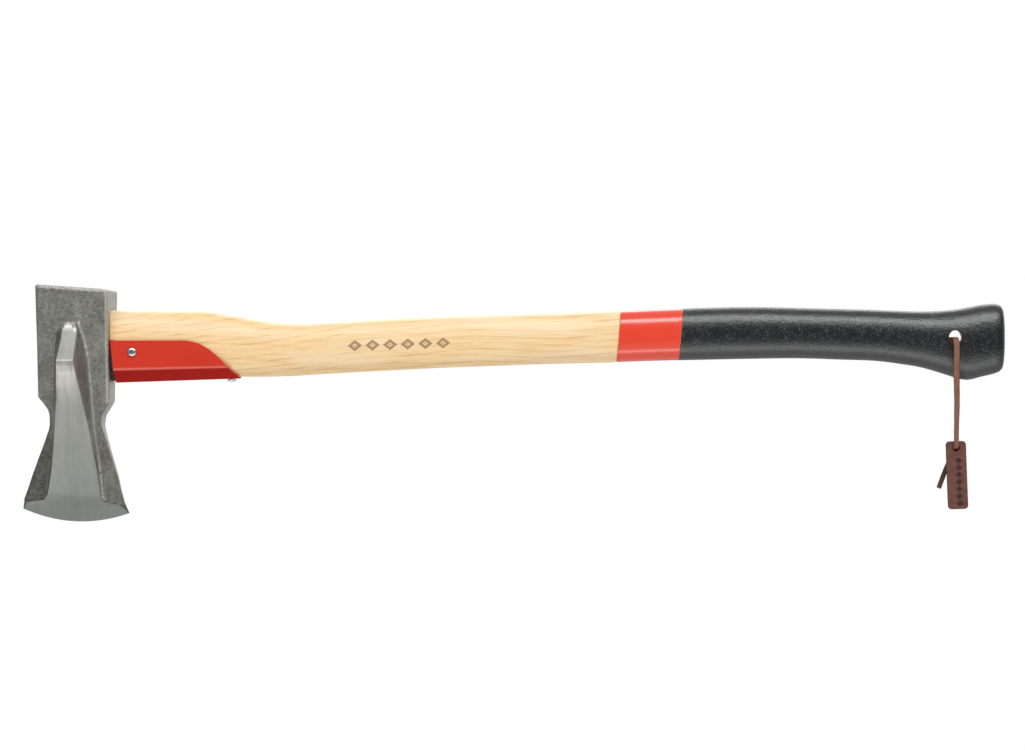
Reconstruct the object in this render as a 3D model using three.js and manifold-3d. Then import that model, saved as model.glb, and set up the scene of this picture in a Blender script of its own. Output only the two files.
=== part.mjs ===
// A long-handled splitting maul: a winged steel head wedged on an ash handle, a folded steel guard
// under the handle, a coated grip and a leather hanging lace with a tag.
//
// Millimetres. The model is laid out from the centre of the head's eye: +X runs along the handle to
// the butt, +Y is one cheek's side and +Z points to the poll. The finished group is then shifted so
// that the middle of the grip, where a hand holds it, is the origin.

import * as THREE from 'three';
import { mergeVertices } from 'three/addons/utils/BufferGeometryUtils.js';
import Module from 'manifold-3d';

const wasm = await Module();
wasm.setup();

// ---------------------------------------------------------------- driving dimensions

const GAP = 0.3; // left between pieces that touch or are pressed together
const GRIP_CENTRE = new THREE.Vector3(662, 0, 10);

const HEAD_FACE = 30.8; // half the head's length along the handle
const POLL_HEIGHT = 50.6; // poll face above the eye's centre, at mid-length
const POLL_SLOPE = -0.07; // the poll face falls this much per millimetre towards the butt
const POLL_CHAMFER = 1.5;
const EYE = { height: 61.6, width: 26.6, roundness: 3.2 };

// The forged core from poll to edge: height, front and rear outline, half thickness.
const CORE_LEVELS = [
  [POLL_HEIGHT, -29.3, 29.3, 25.9],
  [POLL_HEIGHT - POLL_CHAMFER, -30.8, 30.8, 27.4],
  [30, -30.8, 30.8, 25.4],
  [0, -30.8, 30.8, 22],
  [-30, -30.8, 30.8, 18.5],
  [-44, -30.8, 30.8, 17],
  [-49, -26.7, 30.6, 16.4],
  [-55, -22.5, 27, 15.7],
  [-60.4, -21.6, 23.7, 15],
  [-68, -21.5, 23, 13],
  [-75, -23.9, 24.8, 10.4],
  [-83, -26.9, 27, 8],
  [-98, -32.6, 31.4, 6.9],
  [-113, -37.8, 36, 5.8],
  [-125, -41.5, 38.6, 4.1],
  [-137, -45.2, 41.6, 2.5],
  [-148, -46.4, 45.7, 0.45],
];
const ARC_START = -83; // below this height the levels bend into the edge's arc
const CUTTING_EDGE = { low: -152.22, tilt: -0.0404, curve: 0.00434, mean: -148 };

// The wing on each cheek: height, front and rear border of its crest, half thickness over the
// crests, front and rear border of its base.
const WING_LEVELS = [
  [20, -4, 3.5, 23.2, -10, 7],
  [14, -6.7, 4.7, 27.3, -12.5, 7.5],
  [-13, -9.6, 4.7, 45, -16, 13.2],
  [-46.5, -11.3, 10.2, 33.65, -17.2, 15.4],
  [-74.6, -15, 15.6, 24.1, -18.6, 16.6],
  [-95, -17.8, 18.2, 17.2, -20.4, 19.5],
  [-112, -20.8, 20.5, 11.45, -22.6, 21.2],
  [-127, -23.8, 22.6, 6.4, -24.8, 23],
  [-139, -27, 25, 2.2, -27.4, 25.4],
];

// The handle's finished outline outside the head: distance, top, bottom, half width.
const HANDLE_STATIONS = [
  [31.1, 30.8, -30.5, 15.3],
  [60, 30.1, -29.6, 15.3],
  [89, 29.5, -28.6, 15.2],
  [115, 29.3, -27.7, 15],
  [124, 27.9, -27.4, 14.9],
  [141, 25.1, -26.8, 14.7],
  [159, 21.7, -26.8, 14.5],
  [185, 19.1, -26.1, 14.3],
  [228, 20.8, -23.5, 14.2],
  [280, 23.4, -20.9, 14.2],
  [315, 25.1, -19.1, 14.2],
  [367, 26.9, -17.2, 14.2],
  [402, 27.8, -15.9, 14.2],
  [454, 29.5, -14.6, 14.3],
  [497, 31.2, -13.1, 14.6],
  [541, 33, -12.1, 14.9],
  [585, 33.8, -11.2, 15.1],
  [628, 33, -10.8, 15.2],
  [662, 32.1, -11.9, 15.2],
  [697, 31.1, -13.4, 15.1],
  [714, 30.4, -15.6, 15.1],
  [732, 29.9, -18.6, 15.4],
  [749, 30.4, -23.4, 16.2],
  [758, 31.2, -26.3, 16.6],
  [766, 32.2, -28.7, 16.9],
  [772, 33.4, -29.5, 17.1],
  [784, 35.6, -26.9, 17.2],
  [792, 36.5, -25, 17],
  [797, 36.4, -23.6, 16.4],
  [800.5, 35.2, -21.9, 14.9],
  [802.4, 33, -19.8, 12.6],
];
const HANDLE_ROUNDNESS = 2.25; // exponent of the oval section
const KNOB_RINGS = [741, 749, 758, 766, 772, 778, 784, 792, 797, 800.5];
const BUTT_END = 803;
const BUTT_FACE = [31.4, -16, 11]; // top, bottom and half width of the flat butt
const TONGUE_END = -30.3;
const TONGUE = { top: 30.45, bottom: -30.45, half: 12.95 };

const COAT_STEP = 0.8; // the paint and the anti-slip coat stand this far off the wood
const BAND = { start: 469.3, end: 522.7, lean: 0.078 }; // lean: how far the borders slant per mm
const HOLE = { x: 759.5, z: 7.7, radius: 5.5 };

const KERF = { start: 12, mouth: 6.6, root: 1.6 };
const WOOD_WEDGE = { length: 38, halfHeight: 27, mouth: 6, tip: 1.4 };
const RING_WEDGE = { outer: 8.5, inner: 6.9, start: -30.1, length: 20 };

const GUARD = {
  front: 31.4,
  frontFoot: 35.4,
  rear: 141.8,
  top: 4.5,
  sheet: 1.2,
  // distance, crease height, bottom height, half width of the sides, half width of the bottom
  sections: [
    [28, -21.1, -32.1, 16.9, 7.5],
    [146, -18.4, -28.15, 16.4, 7],
  ],
};
const SCREW = { head: 4, headHeight: 2.2, shank: 1.7, length: 15, hole: 2.1, seat: 0.2 };
const SIDE_SCREW = { x: 50.4, z: -5.4 };
const TIP_SCREW_X = 134.5;

const LACE = { width: 5, thickness: 2 };
const LACE_FRONT_ROUTE = [
  [759.5, -0.15, 6.6],
  [759.5, -6, 6.6],
  [759.5, -12, 6.6],
  [759.5, -16.5, 6.1],
  [759.5, -20, 4],
  [759.5, -21.7, -0.4],
  [759.5, -21.6, -6],
  [759.5, -21, -14],
  [759.6, -20.4, -24],
  [759.8, -20.1, -34],
  [760.1, -19.4, -42],
  [760.5, -17.4, -50],
  [760.9, -14.2, -58],
  [761.4, -10.6, -67],
  [761.9, -7, -76],
  [762.4, -4.6, -82.5],
  [762.6, -3.1, -86],
  [762.7, -1.2, -87.9],
  [762.7, 0.6, -88.2],
  [762.7, 2.2, -88.3],
];
const LACE_REAR_ROUTE = [
  [759.5, 0.15, 6.6],
  [759.9, 6, 6.6],
  [760.7, 12, 6.6],
  [761.5, 16.5, 6.1],
  [762.3, 20, 4],
  [763.3, 21.7, -0.4],
  [764.3, 21.6, -6],
  [765.5, 21, -14],
  [766.6, 20.4, -24],
  [767.2, 20.1, -34],
  [767.2, 19.6, -42],
  [767, 18.1, -50],
  [766.4, 15.6, -58],
  [765.7, 12.8, -67],
  [765.1, 10.3, -75],
  [764.7, 8.5, -81],
  [764.6, 8.1, -82.9],
];
const LACE_LONG_TAIL_ROUTE = [
  [760.4, 7, -96.2],
  [757.8, 6.6, -101],
  [754.7, 6, -108],
  [751.6, 5.6, -116],
  [748.8, 5.4, -123.6],
];
const LACE_SHORT_TAIL_ROUTE = [
  [766.2, 7, -96.3],
  [766.4, 6.8, -102],
  [766.6, 6.2, -110],
  [766.6, 5.6, -118],
];
const KNOT = { x: 763.6, y: 7, z: -90, halfX: 6.8, halfY: 4.5, halfZ: 6 };
const TAG = {
  width: 17.5,
  length: 59,
  thickness: 2.4,
  corner: 3,
  holeRadius: 3.5,
  holeFromTop: 5.4,
  x: 762.7,
  z: -88,
  lean: 0.036,
};

// ---------------------------------------------------------------- finishes

const finish = (color, roughness, metalness) =>
  new THREE.MeshStandardMaterial({ color, roughness, metalness });

const FORGED_STEEL = finish(0x77766c, 0.45, 0.9);
const PLAIN_STEEL = finish(0x9a9a98, 0.35, 1);
const ZINC = finish(0xb9b9b4, 0.3, 1);
const ASH_WOOD = finish(0xd9b98c, 0.55, 0);
const WEDGE_WOOD = finish(0xb98d5a, 0.7, 0);
const RED_PAINT = finish(0xd43e30, 0.35, 0.1);
const RED_GLOSS = finish(0xe84b37, 0.2, 0);
const BLACK_COAT = finish(0x1b1c1f, 0.75, 0);
const LACE_LEATHER = finish(0x96644b, 0.7, 0);
const TAG_LEATHER = finish(0x7d4b41, 0.6, 0);

// ---------------------------------------------------------------- solids

/** Turns a closed geometry into a solid that can be joined and cut. */
function solidOf(geometry) {
  const bare = geometry.clone();
  bare.deleteAttribute('normal');
  bare.deleteAttribute('uv');
  const merged = mergeVertices(bare, 1e-4);
  const vertProperties = new Float32Array(merged.attributes.position.array);
  const triVerts = new Uint32Array(merged.index.array);
  return new wasm.Manifold(new wasm.Mesh({ numProp: 3, vertProperties, triVerts }));
}

/** Turns a solid back into a geometry. */
function geometryOf(solid) {
  const mesh = solid.getMesh();
  const geometry = new THREE.BufferGeometry();
  geometry.setAttribute('position', new THREE.BufferAttribute(mesh.vertProperties, 3));
  geometry.setIndex(new THREE.BufferAttribute(mesh.triVerts, 1));
  geometry.computeVertexNormals();
  return geometry;
}

/** Cuts a row of tools out of a geometry. */
function cut(geometry, ...tools) {
  const left = tools.reduce((solid, tool) => solid.subtract(solidOf(tool)), solidOf(geometry));
  return geometryOf(left);
}

/** Skins a row of rings with equal counts of points and closes both ends with fans. */
function loft(rings) {
  const count = rings[0].length;
  const positions = rings.flat().flatMap((point) => point.toArray());
  const index = [];
  for (let row = 0; row + 1 < rings.length; row++) {
    for (let i = 0; i < count; i++) {
      const here = row * count + i;
      const next = row * count + ((i + 1) % count);
      index.push(here, next, next + count, here, next + count, here + count);
    }
  }
  for (const [ring, first, flip] of [
    [rings[0], 0, true],
    [rings[rings.length - 1], (rings.length - 1) * count, false],
  ]) {
    const middle = ring.reduce((sum, point) => sum.add(point), new THREE.Vector3());
    middle.divideScalar(count);
    const hub = positions.length / 3;
    positions.push(...middle.toArray());
    for (let i = 0; i < count; i++) {
      const here = first + i;
      const next = first + ((i + 1) % count);
      index.push(hub, flip ? next : here, flip ? here : next);
    }
  }
  const geometry = new THREE.BufferGeometry();
  geometry.setAttribute('position', new THREE.Float32BufferAttribute(positions, 3));
  geometry.setIndex(index);
  geometry.computeVertexNormals();
  return geometry;
}

/** A round cutter along Y, centred on (x, z), long enough to pass through everything. */
function drillAlongY(x, z, radius, length = 80) {
  return new THREE.CylinderGeometry(radius, radius, length, 24).translate(x, 0, z);
}

/** An oval ring across X with the given exponent, as seen from the butt. */
function ovalRing(x, top, bottom, half, roundness, count = 28, lean = 0) {
  const middle = (top + bottom) / 2;
  const height = (top - bottom) / 2;
  const power = 2 / roundness;
  const bulge = (value) => Math.sign(value) * Math.abs(value) ** power;
  return Array.from({ length: count }, (_, i) => {
    const angle = (2 * Math.PI * i) / count;
    const z = middle + height * bulge(Math.sin(angle));
    return new THREE.Vector3(x + lean * z, half * bulge(Math.cos(angle)), z);
  });
}

/** The handle's finished outline at a distance: top, bottom, half width. */
const handleOutline = new THREE.CubicInterpolant(
  HANDLE_STATIONS.map(([x]) => x),
  HANDLE_STATIONS.flatMap(([, ...sizes]) => sizes),
  3,
);

/** A ring of the handle, moved outwards by `out`. */
function handleRing(x, out, lean = 0) {
  const [top, bottom, half] = handleOutline.evaluate(x);
  return ovalRing(x, top + out, bottom - out, half + out, HANDLE_ROUNDNESS, 28, lean);
}

/** Distances from one end to the other in steps no longer than `step`. */
function distances(from, to, step) {
  const count = Math.ceil((to - from) / step);
  return Array.from({ length: count + 1 }, (_, i) => from + ((to - from) * i) / count);
}

// ---------------------------------------------------------------- head

/** The cutting edge's height at a distance from the eye's centre line. */
function edgeHeight(x) {
  return CUTTING_EDGE.low + CUTTING_EDGE.tilt * x + CUTTING_EDGE.curve * x * x;
}

/** A ring of the forged core: a rectangle with rounded corners, bent to the poll or the edge. */
function coreRing([height, front, rear, half]) {
  const radius = Math.min(5, 0.7 * half);
  const along = 8;
  const points = [];
  const corner = (x, y, start) => {
    for (let i = 0; i <= 3; i++) {
      const angle = start + (i * Math.PI) / 6;
      points.push([x + radius * Math.cos(angle), y + radius * Math.sin(angle)]);
    }
  };
  const side = (fromX, toX, y) => {
    for (let i = 1; i < along; i++) {
      points.push([fromX + ((toX - fromX) * i) / along, y]);
    }
  };
  corner(rear - radius, half - radius, 0);
  side(rear - radius, front + radius, half);
  corner(front + radius, half - radius, Math.PI / 2);
  corner(front + radius, radius - half, Math.PI);
  side(front + radius, rear - radius, -half);
  corner(rear - radius, radius - half, 1.5 * Math.PI);
  const pollPull = THREE.MathUtils.clamp((height - 30) / (POLL_HEIGHT - POLL_CHAMFER - 30), 0, 1);
  const edgePull = THREE.MathUtils.clamp((height - ARC_START) / (CUTTING_EDGE.mean - ARC_START), 0, 1);
  return points.map(([x, y]) => {
    const bend = pollPull * POLL_SLOPE * x + edgePull * (edgeHeight(x) - CUTTING_EDGE.mean);
    return new THREE.Vector3(x, y, height + bend);
  });
}

/** A ring of both wings at once, joined across the core. */
function wingRing([height, crestFront, crestRear, half, baseFront, baseRear]) {
  const inner = Math.min(12, 0.4 * half);
  const corners = [
    [crestRear, half],
    [crestFront, half],
    [baseFront, inner],
    [baseFront, -inner],
    [crestFront, -half],
    [crestRear, -half],
    [baseRear, -inner],
    [baseRear, inner],
  ];
  return corners.map(([x, y]) => new THREE.Vector3(x, y, height));
}

/** The head: core and wings in one forging, with the eye cut through. */
function headGeometry() {
  const core = solidOf(loft(CORE_LEVELS.map(coreRing).reverse()));
  const wings = solidOf(loft(WING_LEVELS.map(wingRing).reverse()));
  const eye = loft(
    [-HEAD_FACE - 5, HEAD_FACE + 5].map((x) =>
      ovalRing(x, EYE.height / 2, -EYE.height / 2, EYE.width / 2, EYE.roundness, 36),
    ),
  );
  return geometryOf(core.add(wings).subtract(solidOf(eye)));
}

// ---------------------------------------------------------------- handle and wedges

/** The wedge-shaped slot, or wedge, that lies across the tongue's end. */
function wedgeGeometry(start, end, mouth, tip, halfHeight) {
  const ring = (x, width) =>
    [
      [width / 2, -halfHeight],
      [width / 2, halfHeight],
      [-width / 2, halfHeight],
      [-width / 2, -halfHeight],
    ].map(([y, z]) => new THREE.Vector3(x, y, z));
  return loft([ring(start, mouth), ring(end, tip)]);
}

/** A round tube along X, for the ring wedge and the groove that it sits in. */
function ringGeometry(inner, outer, start, end) {
  const profile = [
    [inner, start],
    [outer, start],
    [outer, end],
    [inner, end],
    [inner, start],
  ].map(([radius, along]) => new THREE.Vector2(radius, along));
  return new THREE.LatheGeometry(profile, 24).rotateZ(-Math.PI / 2);
}

const ringGroove = () =>
  ringGeometry(
    RING_WEDGE.inner - GAP,
    RING_WEDGE.outer + GAP,
    TONGUE_END - 5,
    RING_WEDGE.start + RING_WEDGE.length + GAP,
  );

/** The clearance that each guard screw needs in the wood and in the sheet. */
const screwHoles = () => [
  drillAlongY(SIDE_SCREW.x, SIDE_SCREW.z, SCREW.hole).translate(0, 41, 0),
  drillAlongY(SIDE_SCREW.x, SIDE_SCREW.z, SCREW.hole).translate(0, -41, 0),
];

/** The wood: tongue in the eye, swell behind the head, thin shaft and flared knob. */
function handleGeometry() {
  const tongue = [TONGUE_END, 30.9].map((x) =>
    ovalRing(x, TONGUE.top, TONGUE.bottom, TONGUE.half, EYE.roundness),
  );
  const bare = distances(31.1, 456, 12.5).map((x) => handleRing(x, 0));
  const step = [
    handleRing(BAND.start - 2 * GAP, 0, BAND.lean),
    handleRing(BAND.start - GAP, -COAT_STEP - GAP, BAND.lean),
  ];
  const coated = [...distances(484, 732, 14), ...KNOB_RINGS].map((x) =>
    handleRing(x, -COAT_STEP - GAP),
  );
  const butt = ovalRing(
    BUTT_END - COAT_STEP - GAP,
    BUTT_FACE[0],
    BUTT_FACE[1],
    BUTT_FACE[2],
    HANDLE_ROUNDNESS,
  );
  const body = loft([...tongue, ...bare, ...step, ...coated, butt]);
  const kerf = wedgeGeometry(TONGUE_END - 1, KERF.start, KERF.mouth, KERF.root, 40);
  const hole = drillAlongY(HOLE.x, HOLE.z, HOLE.radius);
  return cut(body, kerf, ringGroove(), hole, ...screwHoles(), tipScrewHole());
}

/** The wooden wedge, with the ring wedge driven into it. */
function woodWedgeGeometry() {
  const wedge = wedgeGeometry(
    TONGUE_END,
    TONGUE_END + WOOD_WEDGE.length,
    WOOD_WEDGE.mouth,
    WOOD_WEDGE.tip,
    WOOD_WEDGE.halfHeight,
  );
  return cut(wedge, ringGroove());
}

// ---------------------------------------------------------------- coats

/** A sleeve on the handle from one distance to another, with slanted ends. */
function sleeveGeometry(start, end) {
  const skin = (from, to, out) =>
    loft(distances(from, to, 14).map((x) => handleRing(x, out, BAND.lean)));
  return cut(skin(start, end, 0), skin(start - 8, end + 8, -COAT_STEP));
}

/** The grip's coat: a closed-ended sleeve with the hanging hole through it. */
function gripCoatGeometry() {
  const shell = (from, end, face, out) => {
    const slanted = handleRing(from, out, BAND.lean);
    const body = [...distances(540, 732, 14), ...KNOB_RINGS].map((x) => handleRing(x, out));
    const neck = handleRing(802.4, out);
    const butt = ovalRing(end, face[0], face[1], face[2], HANDLE_ROUNDNESS);
    return loft(end === BUTT_END ? [slanted, ...body, neck, butt] : [slanted, ...body, butt]);
  };
  const outside = shell(BAND.end + GAP, BUTT_END, BUTT_FACE, 0);
  const inside = shell(BAND.end - 8, BUTT_END - COAT_STEP, BUTT_FACE, -COAT_STEP);
  return cut(outside, inside, drillAlongY(HOLE.x, HOLE.z, HOLE.radius));
}

// ---------------------------------------------------------------- guard and screws

/** The guard's outline across the handle at one section, moved inwards by `inset`. */
function guardRing([x, crease, bottom, side, foot], inset, top) {
  const points = [
    [side - inset, top],
    [inset - side, top],
    [inset - side, crease + 0.4 * inset],
    [0.4 * inset - foot, bottom + inset],
    [foot - 0.4 * inset, bottom + inset],
    [side - inset, crease + 0.4 * inset],
  ];
  return points.map(([y, z]) => new THREE.Vector3(x, y, z));
}

/** The guard seen from the side: straight top edge, then a curve down to the rear tip. */
function guardSide() {
  const { front, frontFoot, rear, top } = GUARD;
  const shape = new THREE.Shape();
  shape.moveTo(frontFoot, -40);
  shape.lineTo(frontFoot, -32);
  shape.lineTo(front, top - 2);
  shape.quadraticCurveTo(front, top, front + 2, top);
  shape.lineTo(94, top);
  shape.bezierCurveTo(108, top, 117, -3, 126, -11);
  shape.bezierCurveTo(132, -17, 137, -24.5, rear, -27.2);
  shape.lineTo(rear, -40);
  return new THREE.ExtrudeGeometry(shape, { depth: 60, bevelEnabled: false, curveSegments: 7 })
    .rotateX(Math.PI / 2)
    .translate(0, 30, 0);
}

/** The height of the guard's bottom at a distance. */
function guardBottom(x) {
  const [[startX, , startZ], [endX, , endZ]] = GUARD.sections;
  return startZ + ((endZ - startZ) * (x - startX)) / (endX - startX);
}

const tipScrewHole = () =>
  new THREE.CylinderGeometry(SCREW.hole, SCREW.hole, 30, 24)
    .rotateX(Math.PI / 2)
    .translate(TIP_SCREW_X, 0, guardBottom(TIP_SCREW_X) + 5);

/** The guard: one folded sheet, trimmed at both ends and drilled for its screws. */
function guardGeometry() {
  const outside = loft(GUARD.sections.map((section) => guardRing(section, 0, 12)));
  const inside = loft(
    GUARD.sections.map(([x, ...sizes], i) =>
      guardRing([x + (i === 0 ? -3 : 3), ...sizes], GUARD.sheet, 20),
    ),
  );
  const folded = solidOf(outside).subtract(solidOf(inside));
  const trimmed = folded.intersect(solidOf(guardSide()));
  return cut(geometryOf(trimmed), ...screwHoles(), tipScrewHole());
}

/** A pan-head wood screw with a cross recess, its head's underside at y = 0, pointing down. */
function screwGeometry() {
  const { head, headHeight, shank, length } = SCREW;
  const outline = [
    [0, -length],
    [shank, 5 - length],
    [shank, 0],
    [head, 0],
    [head, 0.45 * headHeight],
    [0.86 * head, 0.8 * headHeight],
    [0.5 * head, headHeight],
    [0, headHeight],
  ].map(([radius, along]) => new THREE.Vector2(radius, along));
  const slot = (turn) =>
    new THREE.BoxGeometry(4.6, 2.4, 1).rotateY(turn).translate(0, headHeight, 0);
  return cut(new THREE.LatheGeometry(outline, 20), slot(0), slot(Math.PI / 2));
}

// ---------------------------------------------------------------- lace and tag

/** A flat strip along a route, its width across the object's X. */
function stripGeometry(route, steps) {
  const corner = 0.5;
  const across = LACE.thickness / 2;
  const through = LACE.width / 2;
  const shape = new THREE.Shape(
    [
      [across, through - corner],
      [across - corner, through],
      [corner - across, through],
      [-across, through - corner],
      [-across, corner - through],
      [corner - across, -through],
      [across - corner, -through],
      [across, corner - through],
    ].map(([x, y]) => new THREE.Vector2(x, y)),
  );
  const points = route.map((point) => new THREE.Vector3(...point));
  const extrudePath = new THREE.CatmullRomCurve3(points, false, 'centripetal');
  return new THREE.ExtrudeGeometry(shape, { steps, extrudePath, bevelEnabled: false });
}

/** The knot behind the tag. */
function knotGeometry() {
  return new THREE.SphereGeometry(1, 16, 12).scale(KNOT.halfX, KNOT.halfY, KNOT.halfZ);
}

/** The tag in its own frame: hole at the origin, hanging along -Z, thickness along Y. */
function tagGeometry() {
  const { width, length, thickness, corner, holeFromTop, holeRadius } = TAG;
  const shape = new THREE.Shape();
  const left = -width / 2;
  const low = holeFromTop - length;
  shape.moveTo(left + corner, low);
  shape.lineTo(-left - corner, low);
  shape.quadraticCurveTo(-left, low, -left, low + corner);
  shape.lineTo(-left, holeFromTop - corner);
  shape.quadraticCurveTo(-left, holeFromTop, -left - corner, holeFromTop);
  shape.lineTo(left + corner, holeFromTop);
  shape.quadraticCurveTo(left, holeFromTop, left, holeFromTop - corner);
  shape.lineTo(left, low + corner);
  shape.quadraticCurveTo(left, low, left + corner, low);
  const hole = new THREE.Path();
  hole.absarc(0, 0, holeRadius, 0, 2 * Math.PI, true);
  shape.holes.push(hole);
  return new THREE.ExtrudeGeometry(shape, { depth: thickness, bevelEnabled: false, curveSegments: 6 })
    .rotateX(Math.PI / 2)
    .translate(0, thickness / 2, 0);
}

// ---------------------------------------------------------------- assembly

const maul = new THREE.Group();
maul.position.copy(GRIP_CENTRE).negate();

/** Adds a named mesh to the maul and gives it back for placing. */
function add(name, geometry, material) {
  const mesh = new THREE.Mesh(geometry, material);
  mesh.name = name;
  maul.add(mesh);
  return mesh;
}

add('maul_head', headGeometry(), FORGED_STEEL);
add('handle', handleGeometry(), ASH_WOOD);
add('wooden_wedge', woodWedgeGeometry(), WEDGE_WOOD);
add(
  'ring_wedge',
  ringGeometry(
    RING_WEDGE.inner,
    RING_WEDGE.outer,
    RING_WEDGE.start,
    RING_WEDGE.start + RING_WEDGE.length,
  ),
  PLAIN_STEEL,
);
add('red_band', sleeveGeometry(BAND.start, BAND.end), RED_GLOSS);
add('grip_coating', gripCoatGeometry(), BLACK_COAT);
add('handle_guard', guardGeometry(), RED_PAINT);

/** The half width of the guard's side at a distance. */
function guardSideWidth(x) {
  const [[startX, , , startSide], [endX, , , endSide]] = GUARD.sections;
  return startSide + ((endSide - startSide) * (x - startX)) / (endX - startX);
}

const nearScrew = add('guard_screw_near', screwGeometry(), ZINC);
nearScrew.position.set(SIDE_SCREW.x, -guardSideWidth(SIDE_SCREW.x) - SCREW.seat, SIDE_SCREW.z);
nearScrew.rotation.set(Math.PI, 0.4, 0, 'XYZ');

const farScrew = add('guard_screw_far', screwGeometry(), ZINC);
farScrew.position.set(SIDE_SCREW.x, guardSideWidth(SIDE_SCREW.x) + SCREW.seat, SIDE_SCREW.z);
farScrew.rotation.set(0, 0.7, 0);

const tipScrew = add('guard_screw_tip', screwGeometry(), ZINC);
tipScrew.position.set(TIP_SCREW_X, 0, guardBottom(TIP_SCREW_X) - SCREW.seat - 0.1);
tipScrew.rotation.set(-Math.PI / 2, 0, 0);

add('lace_front', stripGeometry(LACE_FRONT_ROUTE, 44), LACE_LEATHER);
add('lace_rear', stripGeometry(LACE_REAR_ROUTE, 40), LACE_LEATHER);
add('lace_tail_long', stripGeometry(LACE_LONG_TAIL_ROUTE, 10), LACE_LEATHER);
add('lace_tail_short', stripGeometry(LACE_SHORT_TAIL_ROUTE, 8), LACE_LEATHER);
add('lace_knot', knotGeometry(), LACE_LEATHER).position.set(KNOT.x, KNOT.y, KNOT.z);

const tag = add('leather_tag', tagGeometry(), TAG_LEATHER);
tag.position.set(TAG.x, 0, TAG.z);
tag.rotation.set(0, -TAG.lean, 0);

export default maul;
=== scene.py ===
"""The looks of a long-handled splitting maul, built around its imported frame.

Sizes are in millimetres from the centre of the head's eye, with +X along the handle, +Y across the
cheeks and +Z up to the poll. place() turns them into the frame's metres.
"""

import logging
import math
from dataclasses import dataclass, field
from enum import Enum
from typing import Any, Callable, Sequence

import bpy
import numpy as np
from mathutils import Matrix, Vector, noise


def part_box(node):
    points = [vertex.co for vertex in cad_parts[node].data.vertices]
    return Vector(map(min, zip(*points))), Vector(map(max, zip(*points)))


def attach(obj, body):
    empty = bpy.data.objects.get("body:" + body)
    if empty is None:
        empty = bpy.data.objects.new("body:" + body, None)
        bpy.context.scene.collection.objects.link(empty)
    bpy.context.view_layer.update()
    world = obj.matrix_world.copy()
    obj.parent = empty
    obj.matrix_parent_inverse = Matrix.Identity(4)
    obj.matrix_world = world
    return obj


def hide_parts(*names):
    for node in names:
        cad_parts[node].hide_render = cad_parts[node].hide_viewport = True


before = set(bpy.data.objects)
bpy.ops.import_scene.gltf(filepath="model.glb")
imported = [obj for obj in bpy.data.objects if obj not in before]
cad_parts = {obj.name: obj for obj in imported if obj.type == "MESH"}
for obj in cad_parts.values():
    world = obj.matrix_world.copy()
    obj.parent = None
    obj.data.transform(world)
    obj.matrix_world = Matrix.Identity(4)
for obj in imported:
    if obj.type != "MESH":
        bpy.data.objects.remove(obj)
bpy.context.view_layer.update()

log = logging.getLogger("maul")

Ring = list[Vector]
Pair = tuple[float, float]
Colour = tuple[float, float, float]

GRIP_CENTRE = Vector((662.0, 0.0, 10.0))


class Body(Enum):
    """The frame's rigid bodies."""

    MAUL = "maul"
    LANYARD = "lanyard"
    TAG = "tag"


def place(x: float, y: float, z: float) -> Vector:
    """Turns a point in the maul's own millimetres into the frame's metres.

    Args:
        x: Distance from the eye's centre along the handle.
        y: Distance across the cheeks.
        z: Height above the eye's centre.

    Returns:
        The point in the frame.
    """
    return (Vector((x, y, z)) - GRIP_CENTRE) * 0.001


def spread(start: float, end: float, step: float) -> list[float]:
    """Values from start to end, both included, no further apart than step."""
    return list(np.linspace(start, end, max(2, int(math.ceil(abs(end - start) / step)) + 1)))


# ------------------------------------------------------------------------------- shader wrapper


class Wire:
    """A node socket that can be added, multiplied and compared like a number."""

    def __init__(self, graph: "Graph", socket: bpy.types.NodeSocket | None) -> None:
        """Keeps the socket and the graph that it belongs to."""
        self.graph = graph
        self.socket = socket

    def _math(self, operation: str, *values: Any) -> "Wire":
        """Adds one Math node on the given values."""
        inputs = dict(enumerate(values))
        return self.graph.node("ShaderNodeMath", {"operation": operation}, inputs)

    def __add__(self, other: Any) -> "Wire":
        """self + other."""
        return self._math("ADD", self, other)

    def __radd__(self, other: Any) -> "Wire":
        """other + self."""
        return self._math("ADD", other, self)

    def __sub__(self, other: Any) -> "Wire":
        """self - other."""
        return self._math("SUBTRACT", self, other)

    def __rsub__(self, other: Any) -> "Wire":
        """other - self."""
        return self._math("SUBTRACT", other, self)

    def __mul__(self, other: Any) -> "Wire":
        """self * other."""
        return self._math("MULTIPLY", self, other)

    def __rmul__(self, other: Any) -> "Wire":
        """other * self."""
        return self._math("MULTIPLY", other, self)

    def __truediv__(self, other: Any) -> "Wire":
        """self / other."""
        return self._math("DIVIDE", self, other)

    def __rtruediv__(self, other: Any) -> "Wire":
        """other / self."""
        return self._math("DIVIDE", other, self)

    def sine(self) -> "Wire":
        """The sine of the value."""
        return self._math("SINE", self)

    def size(self) -> "Wire":
        """The value without its sign."""
        return self._math("ABSOLUTE", self)

    def fraction(self) -> "Wire":
        """What the value has beyond a whole number."""
        return self._math("FRACT", self)

    def lower(self, other: Any) -> "Wire":
        """The lower of the two values."""
        return self._math("MINIMUM", self, other)

    def ramp(self, low: float, high: float) -> "Wire":
        """Rises smoothly from 0 at low to 1 at high.

        Args:
            low: The value that gives 0.
            high: The value that gives 1; it may be the lower one.

        Returns:
            A value from 0 to 1.
        """
        return self.graph.node(
            "ShaderNodeMapRange",
            {"interpolation_type": "SMOOTHSTEP"},
            {"Value": self, "From Min": low, "From Max": high},
        )


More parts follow.
